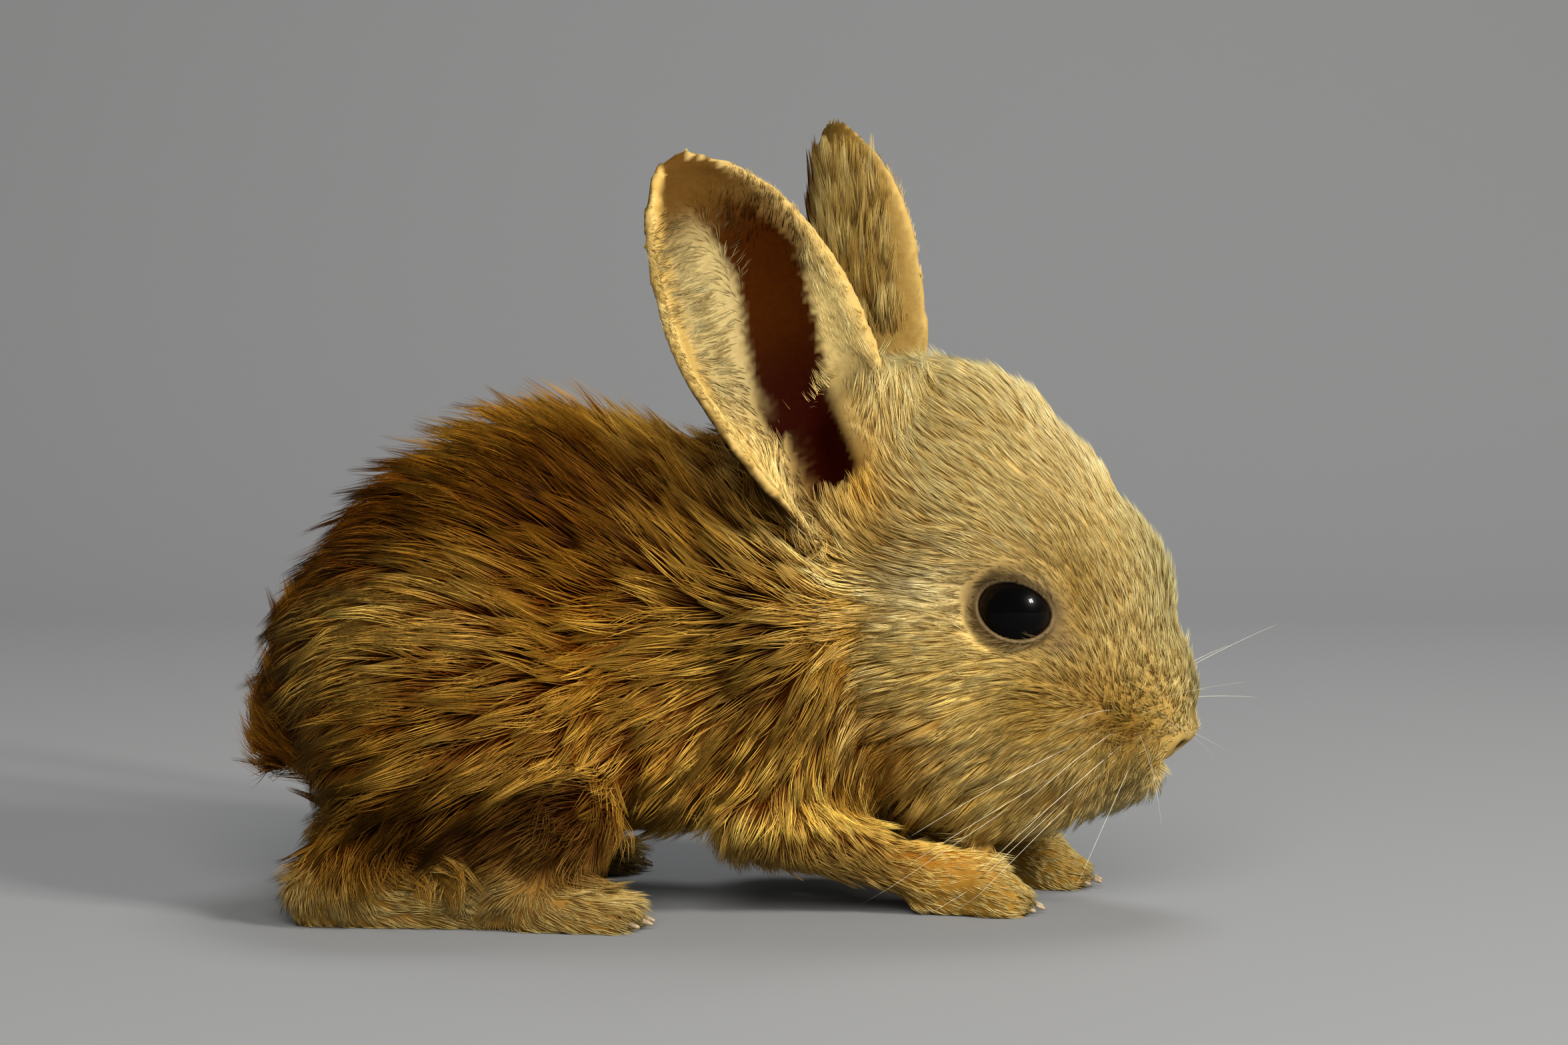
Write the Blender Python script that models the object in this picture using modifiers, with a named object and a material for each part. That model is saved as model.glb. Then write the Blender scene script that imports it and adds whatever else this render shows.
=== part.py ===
"""A golden dwarf rabbit kit, three to four weeks old, crouching with its head turned a little to its right.

The animal faces +X, its left side is +Y and the floor is z = 0. Sizes are in millimetres and become metres
when a mesh is made. Every surface lies at the tips of the coat. The body is built from masses, each named
for what it is on the animal; the masses of one region are fused, and each region is then cut back from its
neighbours, so that all of them meet with a gap of GAP.
"""

import math

import bmesh
import bpy
from mathutils import Matrix, Vector

MM = 0.001
GAP = 0.3
SIDES = {"right": -1, "left": 1}

# The head turns on this place: to its right about Z, then its left side up about X, in degrees.
HEAD_PIVOT = Vector((15, 0, 45))
HEAD_TURN = -14
HEAD_TILT = 6
HEAD_POSE = Matrix.Rotation(math.radians(HEAD_TURN), 4, "Z") @ Matrix.Rotation(math.radians(HEAD_TILT), 4, "X")
HEAD_PLACE = Matrix.Translation(HEAD_PIVOT) @ HEAD_POSE @ Matrix.Translation(-HEAD_PIVOT)

EYE_RADIUS = 6.4
EYE_CENTRE = (46.2, 11.5, 46.6)
EYE_FORWARD = 8
EYE_RISE = 0.06
LID_OPENING = (5.7, 4.3)
LID_THICKNESS = 1.3
LID_TILT = 18
LID_BALLS = 28

EAR_THICKNESS = 2.4
EAR_HALF_WIDTH = 17
EAR_WIDEST = 0.42
EAR_ROOT_SHARE = 0.78
EAR_TIP_SHARE = 0.16
EAR_CURL = (105, 40)
EAR_CELLS = (7, 12)
EARS = {
    "right": {"root": (18, -11, 56), "bend": (4.5, -13, 86), "tip": (-8, -19, 111), "opens": -66, "scale": 1},
    "left": {"root": (20, 8, 62), "bend": (16, 11, 92), "tip": (16.5, 13, 117), "opens": 36, "scale": 0.9},
}

# Each mass is (centre, radii, pitch): pitch tips its front end down, in degrees. A centre with y above 0 is
# made on both sides. The head's masses are in the head's own upright frame, before its turn and tilt.
HEAD_MASSES = {
    "cranium": ((34, 0, 61), (22, 18, 21.7), 0),
    "occiput": ((24, 0, 58), (16, 16.5, 20), 0),
    "ear_base": ((25, 8, 71.5), (10, 7, 9.5), 0),
    "forehead": ((43, 0, 53.5), (20, 15.8, 21.5), 0),
    "face": ((48.8, 0, 45), (21, 13.2, 21), 0),
    "orbit": ((44.5, 8.8, 49), (13, 7.9, 11), 0),
    "muzzle": ((59, 0, 33), (13.2, 10.6, 13.5), 0),
    "nose": ((67.6, 0, 30.4), (3.6, 4.2, 4.8), 0),
    "whisker_pad": ((61.5, 5, 27), (9, 6.5, 8.2), 0),
    "throat": ((44, 0, 23), (19, 10, 11.5), 0),
    "chin": ((57.5, 0, 20.5), (9, 7.5, 7.3), 0),
    "cheek": ((40, 8.6, 34.5), (21.5, 11.6, 20.5), 0),
    "jowl": ((45, 7.5, 24.5), (17.5, 9.6, 13.8), 0),
}
HEAD_HOLLOWS = {
    "nostril": ((70.6, 2.9, 26.6), (2.4, 0.8, 1.2), 0),
    "lip_cleft": ((70, 0, 22.6), (2.6, 0.6, 3.2), 0),
    "mouth": ((65.2, 0, 18.8), (5.6, 7, 0.6), 12),
}
TRUNK_MASSES = {
    "rump": ((-38.5, 0, 34), (32, 33, 31), 0),
    "haunch_top": ((-32, 0, 43), (31, 30, 30), 0),
    "loin": ((-23, 0, 47), (31, 28, 31), 0),
    "belly": ((-16, 0, 28), (34, 26, 21), 0),
    "withers": ((4, 0, 46), (24, 24, 27), 0),
    "chest": ((14, 0, 30), (22, 20, 23), 0),
    "nape": ((14, 0, 60), (17, 17, 17), 0),
}
THIGH = ((-38, 22, 29.5), (24.5, 15, 24), 8)
TAIL = ((-66, 0, 27), (7.5, 7, 11.5), 18)

# A limb is a chain of balls, each (centre, radius), with tapered flesh drawn between them.
FORELEGS = {
    "right": {
        "shoulder": (10, -15.5, 35),
        "elbow": (5, -17, 14.5),
        "wrist": (27.5, -14.5, 6.5),
        "toes": (43.5, -14, 3.6),
    },
    "left": {
        "shoulder": (12, 15.5, 35),
        "elbow": (10, 17, 14.5),
        "wrist": (37, 13, 6.5),
        "toes": (54, 11, 3.6),
    },
}
UPPER_ARM_RADII = (10, 6)
FOREARM_RADII = (7.2, 4.9)
HIND_LEGS = {
    "right": {"knee": (-23, -24, 16), "hock": (-54, -22, 11), "heel": (-59, -23.5, 5), "toes": (-14, -27, 3.9)},
    "left": {"knee": (-25, 24, 16), "hock": (-56, 22, 11), "heel": (-61, 23.5, 5), "toes": (-16, 27, 3.9)},
}
SHANK_RADII = (10, 7)
TOES = 4
FOREPAW = {"palm": 4.9, "toe": 2.8, "spread": 2.5, "claw": 2.4}
HIND_FOOT = {"palm": 5.2, "toe": 2.9, "spread": 2.9, "claw": 3.0}
KNUCKLE_SHARE = 0.66
KNUCKLE_SPREAD = 0.7
KNUCKLE_SIZE = 0.8
TOE_STAGGER = 0.8
SOLE_SINK = 0.35
CLAWS = {"forepaw": "claw_fore_{}", "hind_foot": "claw_hind_{}"}
CLAW_RADII = (0.8, 0.3)
CLAW_TIP_HEIGHT = 0.8

# How the masses are fused: the spacing of the balls of a limb, the melt's grain for feet, head, limbs,
# thighs and trunk, the rounds of smoothing that follow it, and each piece's share of the triangles.
BALL_SPACING = 1.6
FINE_VOXEL = 0.7
HEAD_VOXEL = 1.1
LIMB_VOXEL = 1.2
THIGH_VOXEL = 1.4
TRUNK_VOXEL = 1.8
SOFTENING = 6
HEAD_SOFTENING = 14
TRUNK_SOFTENING = 12
TRIANGLES = {
    "head": 1060,
    "forepaw": 180,
    "hind_foot": 190,
    "thigh": 160,
    "arm": 90,
    "shank": 110,
    "tail": 100,
    "trunk": 600,
}
REACH = 300
SHARP_EDGE = math.radians(50)

# Where the trunk is parted: a place on each plane and how far its forward side is turned down.
NECK_CUT = ((3, 0, 60), -14)
CHEST_CUT = ((-9, 0, 40), 0)
LOIN_CUT = ((-37, 0, 40), 0)

GOLDEN = (0.55, 0.33, 0.14)
CREAM = (0.72, 0.58, 0.38)
EAR_SKIN = (0.33, 0.18, 0.12)
EYE_BLACK = (0.012, 0.008, 0.006)
HORN = (0.35, 0.27, 0.2)


def material(name, colour, roughness):
    """A plain non-metallic material of one colour."""
    made = bpy.data.materials.new(name)
    made.use_nodes = True
    shader = made.node_tree.nodes["Principled BSDF"]
    shader.inputs["Base Color"].default_value = (*colour, 1)
    shader.inputs["Roughness"].default_value = roughness
    shader.inputs["Metallic"].default_value = 0
    return made


def mirrored(point, side):
    """A left-hand place, or its twin on the side asked for."""
    return Vector((point[0], point[1] * SIDES[side], point[2]))


def both_sides(masses):
    """Every mass once, and its mirror twin too where it lies off the middle plane."""
    for centre, radii, pitch in masses.values():
        yield centre, radii, pitch
        if centre[1]:
            yield (centre[0], -centre[1], centre[2]), radii, pitch


def add_ball(bm, centre, radii, pitch=0, fineness=3):
    """A ball stretched to the radii, its front end tipped down by pitch degrees."""
    turn = Matrix.Rotation(math.radians(pitch), 4, "Y")
    pose = Matrix.Translation(centre) @ turn @ Matrix.Diagonal((*radii, 1))
    bmesh.ops.create_icosphere(bm, subdivisions=fineness, radius=1, matrix=pose)


def add_limb(bm, start, start_radius, end, end_radius):
    """Tapered flesh from one ball to another: a close row of balls, which the fusing makes one."""
    start, end = Vector(start), Vector(end)
    count = math.ceil((end - start).length / BALL_SPACING)
    for step in range(count + 1):
        share = step / count
        radius = start_radius + (end_radius - start_radius) * share
        add_ball(bm, start.lerp(end, share), (radius, radius, radius))


def link(name, mesh, look):
    """The node of this name, in the rabbit's own collection."""
    piece = bpy.data.objects.new(name, mesh)
    RABBIT.objects.link(piece)
    mesh.materials.append(look)
    return piece


def mesh_in_metres(name, bm, pose=None):
    """Close a bmesh drawn in millimetres into a mesh in metres, posed first if asked."""
    if pose:
        bm.transform(pose)
    bm.transform(Matrix.Scale(MM, 4))
    mesh = bpy.data.meshes.new(name)
    bm.to_mesh(mesh)
    bm.free()
    return mesh


def settle(piece):
    """Make what the piece's modifiers show its own mesh."""
    bpy.context.view_layer.update()
    graph = bpy.context.evaluated_depsgraph_get()
    mesh = bpy.data.meshes.new_from_object(piece.evaluated_get(graph))
    piece.modifiers.clear()
    piece.data = mesh


def fuse(piece, voxel, triangles, softening=SOFTENING):
    """Melt a piece's overlapping masses into one closed soft surface of about so many triangles."""
    melt = piece.modifiers.new("Melt", "REMESH")
    melt.mode = "VOXEL"
    melt.voxel_size = voxel * MM
    soften = piece.modifiers.new("Soften", "SMOOTH")
    soften.iterations = softening
    settle(piece)
    thin = piece.modifiers.new("Thin", "DECIMATE")
    thin.ratio = triangles / (2 * len(piece.data.polygons))
    settle(piece)


def add_cutter(name, mesh):
    """A helper that shapes the nodes and isn't one of them."""
    cutter = bpy.data.objects.new(name, mesh)
    CUTTERS.objects.link(cutter)
    cutter.hide_render = True
    cutter.display_type = "WIRE"
    return cutter


def clearance_of(piece):
    """A copy of a piece that is GAP larger all round, as a cutter."""
    grown = add_cutter(f"{piece.name}_clearance", piece.data.copy())
    swell = grown.modifiers.new("Swell", "DISPLACE")
    swell.mid_level = 0
    swell.strength = GAP * MM
    settle(grown)
    return grown


def block(name, centre, size, turn=0):
    """A box cutter, its +X face turned down by turn degrees."""
    bm = bmesh.new()
    pose = Matrix.Translation(centre) @ Matrix.Rotation(math.radians(turn), 4, "Y")
    bmesh.ops.create_cube(bm, size=1, matrix=pose @ Matrix.Diagonal((*size, 1)))
    return add_cutter(name, mesh_in_metres(name, bm))


def cut(piece, cutter, operation="DIFFERENCE"):
    """Take the cutter from the piece, or keep only what lies in it."""
    knife = piece.modifiers.new("Cut", "BOOLEAN")
    knife.operation = operation
    knife.object = cutter
    settle(piece)


def near(piece, other):
    """Whether two pieces' boxes meet, so that a cut between them has work to do."""
    lows, highs = zip(corners(piece), corners(other))
    low = [max(pair) for pair in zip(*lows)]
    high = [min(pair) for pair in zip(*highs)]
    return all(a < b for a, b in zip(low, high))


def corners(piece):
    """The lowest and highest corner of a piece's box, in metres."""
    points = [vertex.co for vertex in piece.data.vertices]
    return [min(p[i] for p in points) for i in range(3)], [max(p[i] for p in points) for i in range(3)]


def part_off(piece, name, place, turn, look):
    """Cut a piece in two by a plane: what lies ahead of it becomes a new node, what lies behind is kept."""
    ahead = Vector((math.cos(math.radians(turn)), 0, -math.sin(math.radians(turn))))
    size = (REACH, REACH, REACH)
    front = link(name, piece.data.copy(), look)
    cut(front, block(f"{name}_side", Vector(place) + ahead * (REACH + GAP) / 2, size, turn), "INTERSECT")
    cut(piece, block(f"{name}_rest", Vector(place) + ahead * (REACH - GAP) / 2, size, turn))


def eye_frame(side):
    """The eye's place and turn in the head: its Z looks out of the head, its X runs to the front corner."""
    forward = math.radians(EYE_FORWARD)
    outwards = Vector((math.sin(forward), math.cos(forward), EYE_RISE))
    outwards = mirrored(outwards, side).normalized()
    front = Vector((math.cos(math.radians(LID_TILT)), 0, -math.sin(math.radians(LID_TILT))))
    front = (front - outwards * front.dot(outwards)).normalized()
    turn = Matrix((front, outwards.cross(front), outwards)).transposed()
    return Matrix.Translation(mirrored(EYE_CENTRE, side)) @ turn.to_4x4()


def add_lids(bm, side):
    """A low rim of skin round the eye's opening, lying on the eyeball."""
    frame = eye_frame(side)
    for step in range(LID_BALLS):
        angle = 2 * math.pi * step / LID_BALLS
        along, up = (half + LID_THICKNESS / 2 for half in LID_OPENING)
        across = Vector((math.cos(angle) * along, math.sin(angle) * up, 0))
        across.z = math.sqrt((EYE_RADIUS + GAP) ** 2 - across.length_squared)
        add_ball(bm, frame @ across, (LID_THICKNESS,) * 3)


def lid_opening(side):
    """The almond of bare eyeball between the lids, as a cutter that looks out along the eye's axis."""
    bm = bmesh.new()
    size = Matrix.Diagonal((*LID_OPENING, EYE_RADIUS, 1))
    pose = HEAD_PLACE @ eye_frame(side) @ Matrix.Translation((0, 0, EYE_RADIUS)) @ size
    bmesh.ops.create_icosphere(bm, subdivisions=2, radius=1, matrix=pose)
    return add_cutter(f"lids_{side}", mesh_in_metres("lids", bm))


def head_hollow(centre, radii, pitch):
    """A nostril, the cleft of the lip or the slit of the mouth, as a cutter."""
    bm = bmesh.new()
    add_ball(bm, centre, radii, pitch, fineness=1)
    return add_cutter("hollow", mesh_in_metres("hollow", bm, HEAD_PLACE))


def make_head(look):
    """The head from its masses, with a rim round each eye, turned and tilted on the neck."""
    bm = bmesh.new()
    for centre, radii, pitch in both_sides(HEAD_MASSES):
        add_ball(bm, centre, radii, pitch)
    for side in SIDES:
        add_lids(bm, side)
    head = link("head", mesh_in_metres("head", bm, HEAD_PLACE), look)
    fuse(head, HEAD_VOXEL, TRIANGLES["head"], HEAD_SOFTENING)
    for side in SIDES:
        cut(head, lid_opening(side))
    for hollow in both_sides(HEAD_HOLLOWS):
        cut(head, head_hollow(*hollow))
    return head


def make_eye(side, look):
    """A whole eyeball, set in the head's socket."""
    bm = bmesh.new()
    bmesh.ops.create_uvsphere(bm, u_segments=14, v_segments=9, radius=EYE_RADIUS)
    return link(f"eye_{side}", mesh_in_metres("eye", bm, HEAD_PLACE @ eye_frame(side)), look)


def ear_half_width(along):
    """Half the flat leaf's width, from its root at 0 to its round tip at 1."""
    if along < EAR_WIDEST:
        share = EAR_ROOT_SHARE + (1 - EAR_ROOT_SHARE) * math.sin(math.pi / 2 * along / EAR_WIDEST)
    else:
        share = (1 - ((along - EAR_WIDEST) / (1 - EAR_WIDEST)) ** 2.4) ** 0.6
    return EAR_HALF_WIDTH * max(share, EAR_TIP_SHARE)


def make_ear(side, look):
    """A leaf of skin curled about its length into a cup that closes to a tube at its root."""
    shape = EARS[side]
    root, bend, tip = (Vector(shape[key]) for key in ("root", "bend", "tip"))
    heading = math.radians(shape["opens"])
    bm = bmesh.new()
    bmesh.ops.create_grid(bm, x_segments=EAR_CELLS[0], y_segments=EAR_CELLS[1], size=1)
    for vertex in bm.verts:
        along = (vertex.co.y + 1) / 2
        spine = root.lerp(bend, along).lerp(bend.lerp(tip, along), along)
        axis = (bend - root).lerp(tip - bend, along).normalized()
        opening = Vector((math.cos(heading), math.sin(heading), 0))
        opening = (opening - axis * opening.dot(axis)).normalized()
        curl = math.radians(EAR_CURL[0] + (EAR_CURL[1] - EAR_CURL[0]) * math.sqrt(along))
        radius = ear_half_width(along) * shape["scale"] / curl
        angle = vertex.co.x * curl
        forward = opening.cross(axis)
        vertex.co = spine + forward * radius * math.sin(angle) + opening * radius * (1 - math.cos(angle))
    ear = link(f"ear_{side}", mesh_in_metres("ear", bm), look)
    leaf = ear.modifiers.new("Leaf", "SOLIDIFY")
    leaf.thickness = EAR_THICKNESS * MM
    leaf.offset = 0
    settle(ear)
    return ear


def toe_places(back, toes, sizes):
    """Each toe's knuckle and tip, in a row across the foot with the middle toes longest."""
    back, toes = Vector(back), Vector(toes)
    ahead = toes - back
    ahead.z = 0
    ahead.normalize()
    across = Vector((-ahead.y, ahead.x, 0))
    knuckle = back.lerp(toes, KNUCKLE_SHARE)
    for toe in range(TOES):
        place = toe - (TOES - 1) / 2
        shorter = ahead * TOE_STAGGER * place * place
        tip = toes + across * place * sizes["spread"] - shorter
        tip.z = sizes["toe"] - SOLE_SINK
        start = knuckle + across * place * sizes["spread"] * KNUCKLE_SPREAD
        start.z = sizes["palm"] - SOLE_SINK
        yield start, tip, ahead


def make_foot(name, back, toes, sizes, triangles, look):
    """A sole and its toes, flat where they stand on the floor."""
    bm = bmesh.new()
    sole_end = Vector(back).lerp(Vector(toes), KNUCKLE_SHARE)
    sole_end.z = sizes["palm"] - SOLE_SINK
    add_limb(bm, back, sizes["palm"], sole_end, sizes["palm"])
    for start, tip, _ in toe_places(back, toes, sizes):
        add_limb(bm, start, sizes["palm"] * KNUCKLE_SIZE, tip, sizes["toe"])
    foot = link(name, mesh_in_metres(name, bm), look)
    fuse(foot, FINE_VOXEL, triangles)
    cut(foot, block(f"{name}_floor", (0, 0, -REACH / 2), (REACH, REACH, REACH)))
    return foot


def make_claws(name, foot, back, toes, sizes, look):
    """One small pointed claw at the end of each toe, rooted on the toe's own surface."""
    clearance = clearance_of(foot)
    for number, (_, tip, ahead) in enumerate(toe_places(back, toes, sizes), start=1):
        bm = bmesh.new()
        point = tip + ahead * (sizes["toe"] + sizes["claw"] / 2)
        point.z = CLAW_TIP_HEIGHT
        run = point - tip
        pose = Matrix.Translation((tip + point) / 2) @ run.to_track_quat("Z", "Y").to_matrix().to_4x4()
        cone = bmesh.ops.create_cone(bm, cap_ends=True, segments=6, radius1=1, radius2=1, depth=1)
        for vertex in cone["verts"]:
            width = CLAW_RADII[0] if vertex.co.z < 0 else CLAW_RADII[1]
            vertex.co = pose @ Vector((vertex.co.x * width, vertex.co.y * width, vertex.co.z * run.length))
        claw = link(f"{name}_{number}", mesh_in_metres(name, bm), look)
        cut(claw, clearance)


def make_limb(name, places, radii, triangles, look):
    """One length of a leg, from one joint to the next."""
    bm = bmesh.new()
    add_limb(bm, places[0], radii[0], places[1], radii[1])
    limb = link(name, mesh_in_metres(name, bm), look)
    fuse(limb, LIMB_VOXEL, triangles)
    return limb


def make_region(name, masses, voxel, triangles, look, softening=SOFTENING):
    """A region of the body, such as the tail, a thigh or the whole trunk, from its masses."""
    bm = bmesh.new()
    for centre, radii, pitch in masses:
        add_ball(bm, centre, radii, pitch)
    region = link(name, mesh_in_metres(name, bm), look)
    fuse(region, voxel, triangles, softening)
    return region


def give_way(pieces):
    """Cut every piece back, by GAP, from all the pieces before it in the list."""
    clearances = [clearance_of(piece) for piece in pieces]
    for place, piece in enumerate(pieces):
        for clearance in clearances[:place]:
            if near(piece, clearance):
                cut(piece, clearance)
    return dict(zip((piece.name for piece in pieces), clearances))


def stand_on_origin(pieces):
    """Move all the pieces so that the middle of their common box's floor is the origin."""
    lows, highs = zip(*(corners(piece) for piece in pieces))
    low = [min(values) for values in zip(*lows)]
    high = [max(values) for values in zip(*highs)]
    shift = Matrix.Translation((-(low[0] + high[0]) / 2, -(low[1] + high[1]) / 2, -low[2]))
    for piece in pieces:
        piece.data.transform(shift)


for old in list(bpy.data.objects):
    bpy.data.objects.remove(old)
RABBIT = bpy.data.collections.new("Rabbit")
CUTTERS = bpy.data.collections.new("Cutters")
for group in (RABBIT, CUTTERS):
    bpy.context.scene.collection.children.link(group)

golden = material("golden coat", GOLDEN, 0.9)
cream = material("cream coat", CREAM, 0.9)
ear_skin = material("ear", EAR_SKIN, 0.7)
eye_black = material("eye", EYE_BLACK, 0.08)
horn = material("horn", HORN, 0.5)

eyes = [make_eye(side, eye_black) for side in SIDES]
head = make_head(golden)

feet, thighs, lengths = [], [], []
for side in SIDES:
    fore, hind = FORELEGS[side], HIND_LEGS[side]
    for name, back, toes, sizes in (
        ("forepaw", fore["wrist"], fore["toes"], FOREPAW),
        ("hind_foot", hind["heel"], hind["toes"], HIND_FOOT),
    ):
        foot = make_foot(f"{name}_{side}", back, toes, sizes, TRIANGLES[name], cream)
        make_claws(CLAWS[name].format(side), foot, back, toes, sizes, horn)
        feet.append(foot)

    centre, radii, pitch = THIGH
    thigh = [(mirrored(centre, side), radii, pitch)]
    thighs.append(make_region(f"thigh_{side}", thigh, THIGH_VOXEL, TRIANGLES["thigh"], golden))
    for name, places, radii, triangles in (
        ("forearm", (fore["elbow"], fore["wrist"]), FOREARM_RADII, TRIANGLES["arm"]),
        ("upper_arm", (fore["shoulder"], fore["elbow"]), UPPER_ARM_RADII, TRIANGLES["arm"]),
        ("shank", (hind["knee"], hind["hock"]), SHANK_RADII, TRIANGLES["shank"]),
    ):
        lengths.append(make_limb(f"{name}_{side}", places, radii, triangles, golden))

tail = make_region("tail", [TAIL], LIMB_VOXEL, TRIANGLES["tail"], golden)
trunk = both_sides(TRUNK_MASSES)
rump = make_region("rump", trunk, TRUNK_VOXEL, TRIANGLES["trunk"], golden, TRUNK_SOFTENING)

# What comes first keeps its whole shape, and what follows gives way to it.
clearances = give_way([*eyes, head, *feet, *thighs, *lengths, tail, rump])

part_off(rump, "neck", *NECK_CUT, golden)
part_off(rump, "chest", *CHEST_CUT, golden)
part_off(rump, "loin", *LOIN_CUT, golden)

for side in SIDES:
    ear = make_ear(side, ear_skin)
    for body in ("head", "rump"):
        cut(ear, clearances[body])

stand_on_origin(list(RABBIT.objects))
for piece in RABBIT.objects:
    piece.data.shade_smooth()
    piece.data.set_sharp_from_angle(angle=SHARP_EDGE)
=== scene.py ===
import math

import bmesh
import bpy
import numpy as np
from mathutils import Matrix, Vector
from mathutils.bvhtree import BVHTree
from mathutils.kdtree import KDTree


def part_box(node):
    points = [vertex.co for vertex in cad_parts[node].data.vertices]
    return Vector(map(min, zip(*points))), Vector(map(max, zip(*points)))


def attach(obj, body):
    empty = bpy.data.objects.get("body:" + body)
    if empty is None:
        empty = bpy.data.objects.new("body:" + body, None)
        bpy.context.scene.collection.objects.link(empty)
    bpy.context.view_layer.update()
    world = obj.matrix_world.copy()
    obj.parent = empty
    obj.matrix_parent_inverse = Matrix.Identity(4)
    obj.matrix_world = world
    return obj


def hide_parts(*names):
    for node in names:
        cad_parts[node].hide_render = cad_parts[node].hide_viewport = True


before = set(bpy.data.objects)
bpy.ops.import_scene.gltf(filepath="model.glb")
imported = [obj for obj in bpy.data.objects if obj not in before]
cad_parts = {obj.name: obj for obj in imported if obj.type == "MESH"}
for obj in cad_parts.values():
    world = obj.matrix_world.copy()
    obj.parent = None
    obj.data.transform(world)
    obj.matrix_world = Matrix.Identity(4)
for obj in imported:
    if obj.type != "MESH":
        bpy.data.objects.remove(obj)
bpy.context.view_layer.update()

# The rabbit faces +X, its left side is +Y and it lies on z = 0. Sizes are in millimetres unless said.
MM = 0.001
SIDES = {"right": -1, "left": 1}


# The camera stands off the rabbit's right side, a little above its eye, and well back behind a long lens,
# so that the near side and the far side of the rabbit come out at almost one size.
CAMERA_DISTANCE = 600
CAMERA_HEIGHT_ANGLE = math.radians(4)
CAMERA_LENS = 91.84
CAMERA_FILM_WIDTH = 36
CAMERA_NEAR_END = 10 * MM
LOOK_AT = Vector((10.5, 0, 56.8)) * MM


def link(name, data):
    """A new object at the origin."""
    made = bpy.data.objects.new(name, data)
    bpy.context.scene.collection.objects.link(made)
    return made


camera = link("camera", bpy.data.cameras.new("camera"))
bpy.context.scene.camera = camera
camera.data.lens = CAMERA_LENS
camera.data.sensor_width = CAMERA_FILM_WIDTH
camera.data.clip_start = CAMERA_NEAR_END
away = Vector((0, -math.cos(CAMERA_HEIGHT_ANGLE), math.sin(CAMERA_HEIGHT_ANGLE)))
camera.location = LOOK_AT + away * CAMERA_DISTANCE * MM
camera.rotation_euler = (-away).to_track_quat("-Z", "Y").to_euler()


# The skin is one closed hide over the whole body, as a taxidermist mounts it. It lies inside the solids
# by the depth of the coat that grows on it, so it is thick-coated on the back and almost bare on the nose.
SWELL = 0.35
SKIN_GRAIN = 0.9
COAT_DEPTH = {
    "head": 1.7, "neck": 4.6, "chest": 5.2, "loin": 6.4, "rump": 6.6, "tail": 3.0, "ear": 0.35,
    "upper_arm": 4.2, "forearm": 1.4, "forepaw": 0.5, "thigh": 6.0, "shank": 2.8, "hind_foot": 0.6,
    "eye": 0.6,
}
SMOOTHING = {"ear": 2, "forepaw": 3, "hind_foot": 3, "eye": 8, "forearm": 14, "head": 14}
BODY_SMOOTHING = 44
FAMILIES = list(COAT_DEPTH)
EAR = FAMILIES.index("ear")
BLEND_ROUNDS = 24
EAR_ROUNDS, EAR_SHRINK, EAR_SWELL = 36, 0.5, -0.52
WELD = 0.001


def family(name):
    """A node's name without its side."""
    return name.removesuffix("_left").removesuffix("_right")


def flesh_of(nodes):
    """Copies of the solids in one bmesh, the family of each face, and the solids as a search tree."""
    bm = bmesh.new()
    ends = []
    for name in nodes:
        bm.from_mesh(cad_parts[name].data)
        ends.append(len(bm.faces))
    mark = bm.faces.layers.int.new("family")
    starts = [0, *ends]
    bm.faces.ensure_lookup_table()
    for name, start, end in zip(nodes, starts, ends):
        if family(name) in FAMILIES:
            for face in bm.faces[start:end]:
                face[mark] = FAMILIES.index(family(name))
    bmesh.ops.remove_doubles(bm, verts=bm.verts, dist=WELD * MM)
    bm.normal_update()
    return bm, [face[mark] for face in bm.faces], BVHTree.FromBMesh(bm)


def select_only(piece):
    bpy.ops.object.select_all(action="DESELECT")
    piece.select_set(True)
    bpy.context.view_layer.objects.active = piece


def apply_all(piece):
    select_only(piece)
    for modifier in list(piece.modifiers):
        bpy.ops.object.modifier_apply(modifier=modifier.name)


def biggest_island(piece):
    """Drop every loose part of a piece but the largest."""
    select_only(piece)
    bpy.ops.object.mode_set(mode="EDIT")
    bpy.ops.mesh.select_all(action="SELECT")
    bpy.ops.mesh.separate(type="LOOSE")
    bpy.ops.object.mode_set(mode="OBJECT")
    parts = sorted(bpy.context.selected_objects, key=lambda part: len(part.data.vertices))
    for part in parts[:-1]:
        bpy.data.objects.remove(part)
    return parts[-1]


def read(collection, key, width, kind=float):
    """One value of every element of a mesh, as rows of numbers."""
    values = np.empty(len(collection) * width, kind)
    collection.foreach_get(key, values)
    return values.reshape(-1, width)


def unit(vectors):
    return vectors / np.maximum(np.linalg.norm(vectors, axis=-1, keepdims=True), 1e-12)


def vertex_normals(points, triangles):
    a, b, c = (points[triangles[:, k]] for k in range(3))
    across = np.cross(b - a, c - a)
    normals = np.zeros_like(points)
    for axis in range(3):
        for k in range(3):
            normals[:, axis] += np.bincount(triangles[:, k], across[:, axis], len(points))
    return unit(normals)


def relaxed(values, edges, rounds, share=0.5):
    """Values that move towards the mean of their neighbours; share may differ from vertex to vertex."""
    ends = np.concatenate([edges, edges[:, ::-1]])
    count = np.maximum(np.bincount(ends[:, 0], minlength=len(values)), 1)[:, None]
    for _ in range(rounds):
        mean = np.stack([np.bincount(ends[:, 0], column[ends[:, 1]], len(values)) for column in values.T], 1)
        values = values + (mean / count - values) * share
    return values


def smooth_step(low, high, values):
    t = np.clip((values - low) / (high - low), 0, 1)
    return t * t * (3 - 2 * t)


def near_spot(places, centre, radii):
    """A soft ball: 1 at its centre, fading out over its radii."""
    return np.exp(-np.sum(((places - np.array(centre)) / radii) ** 2, 1))


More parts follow.
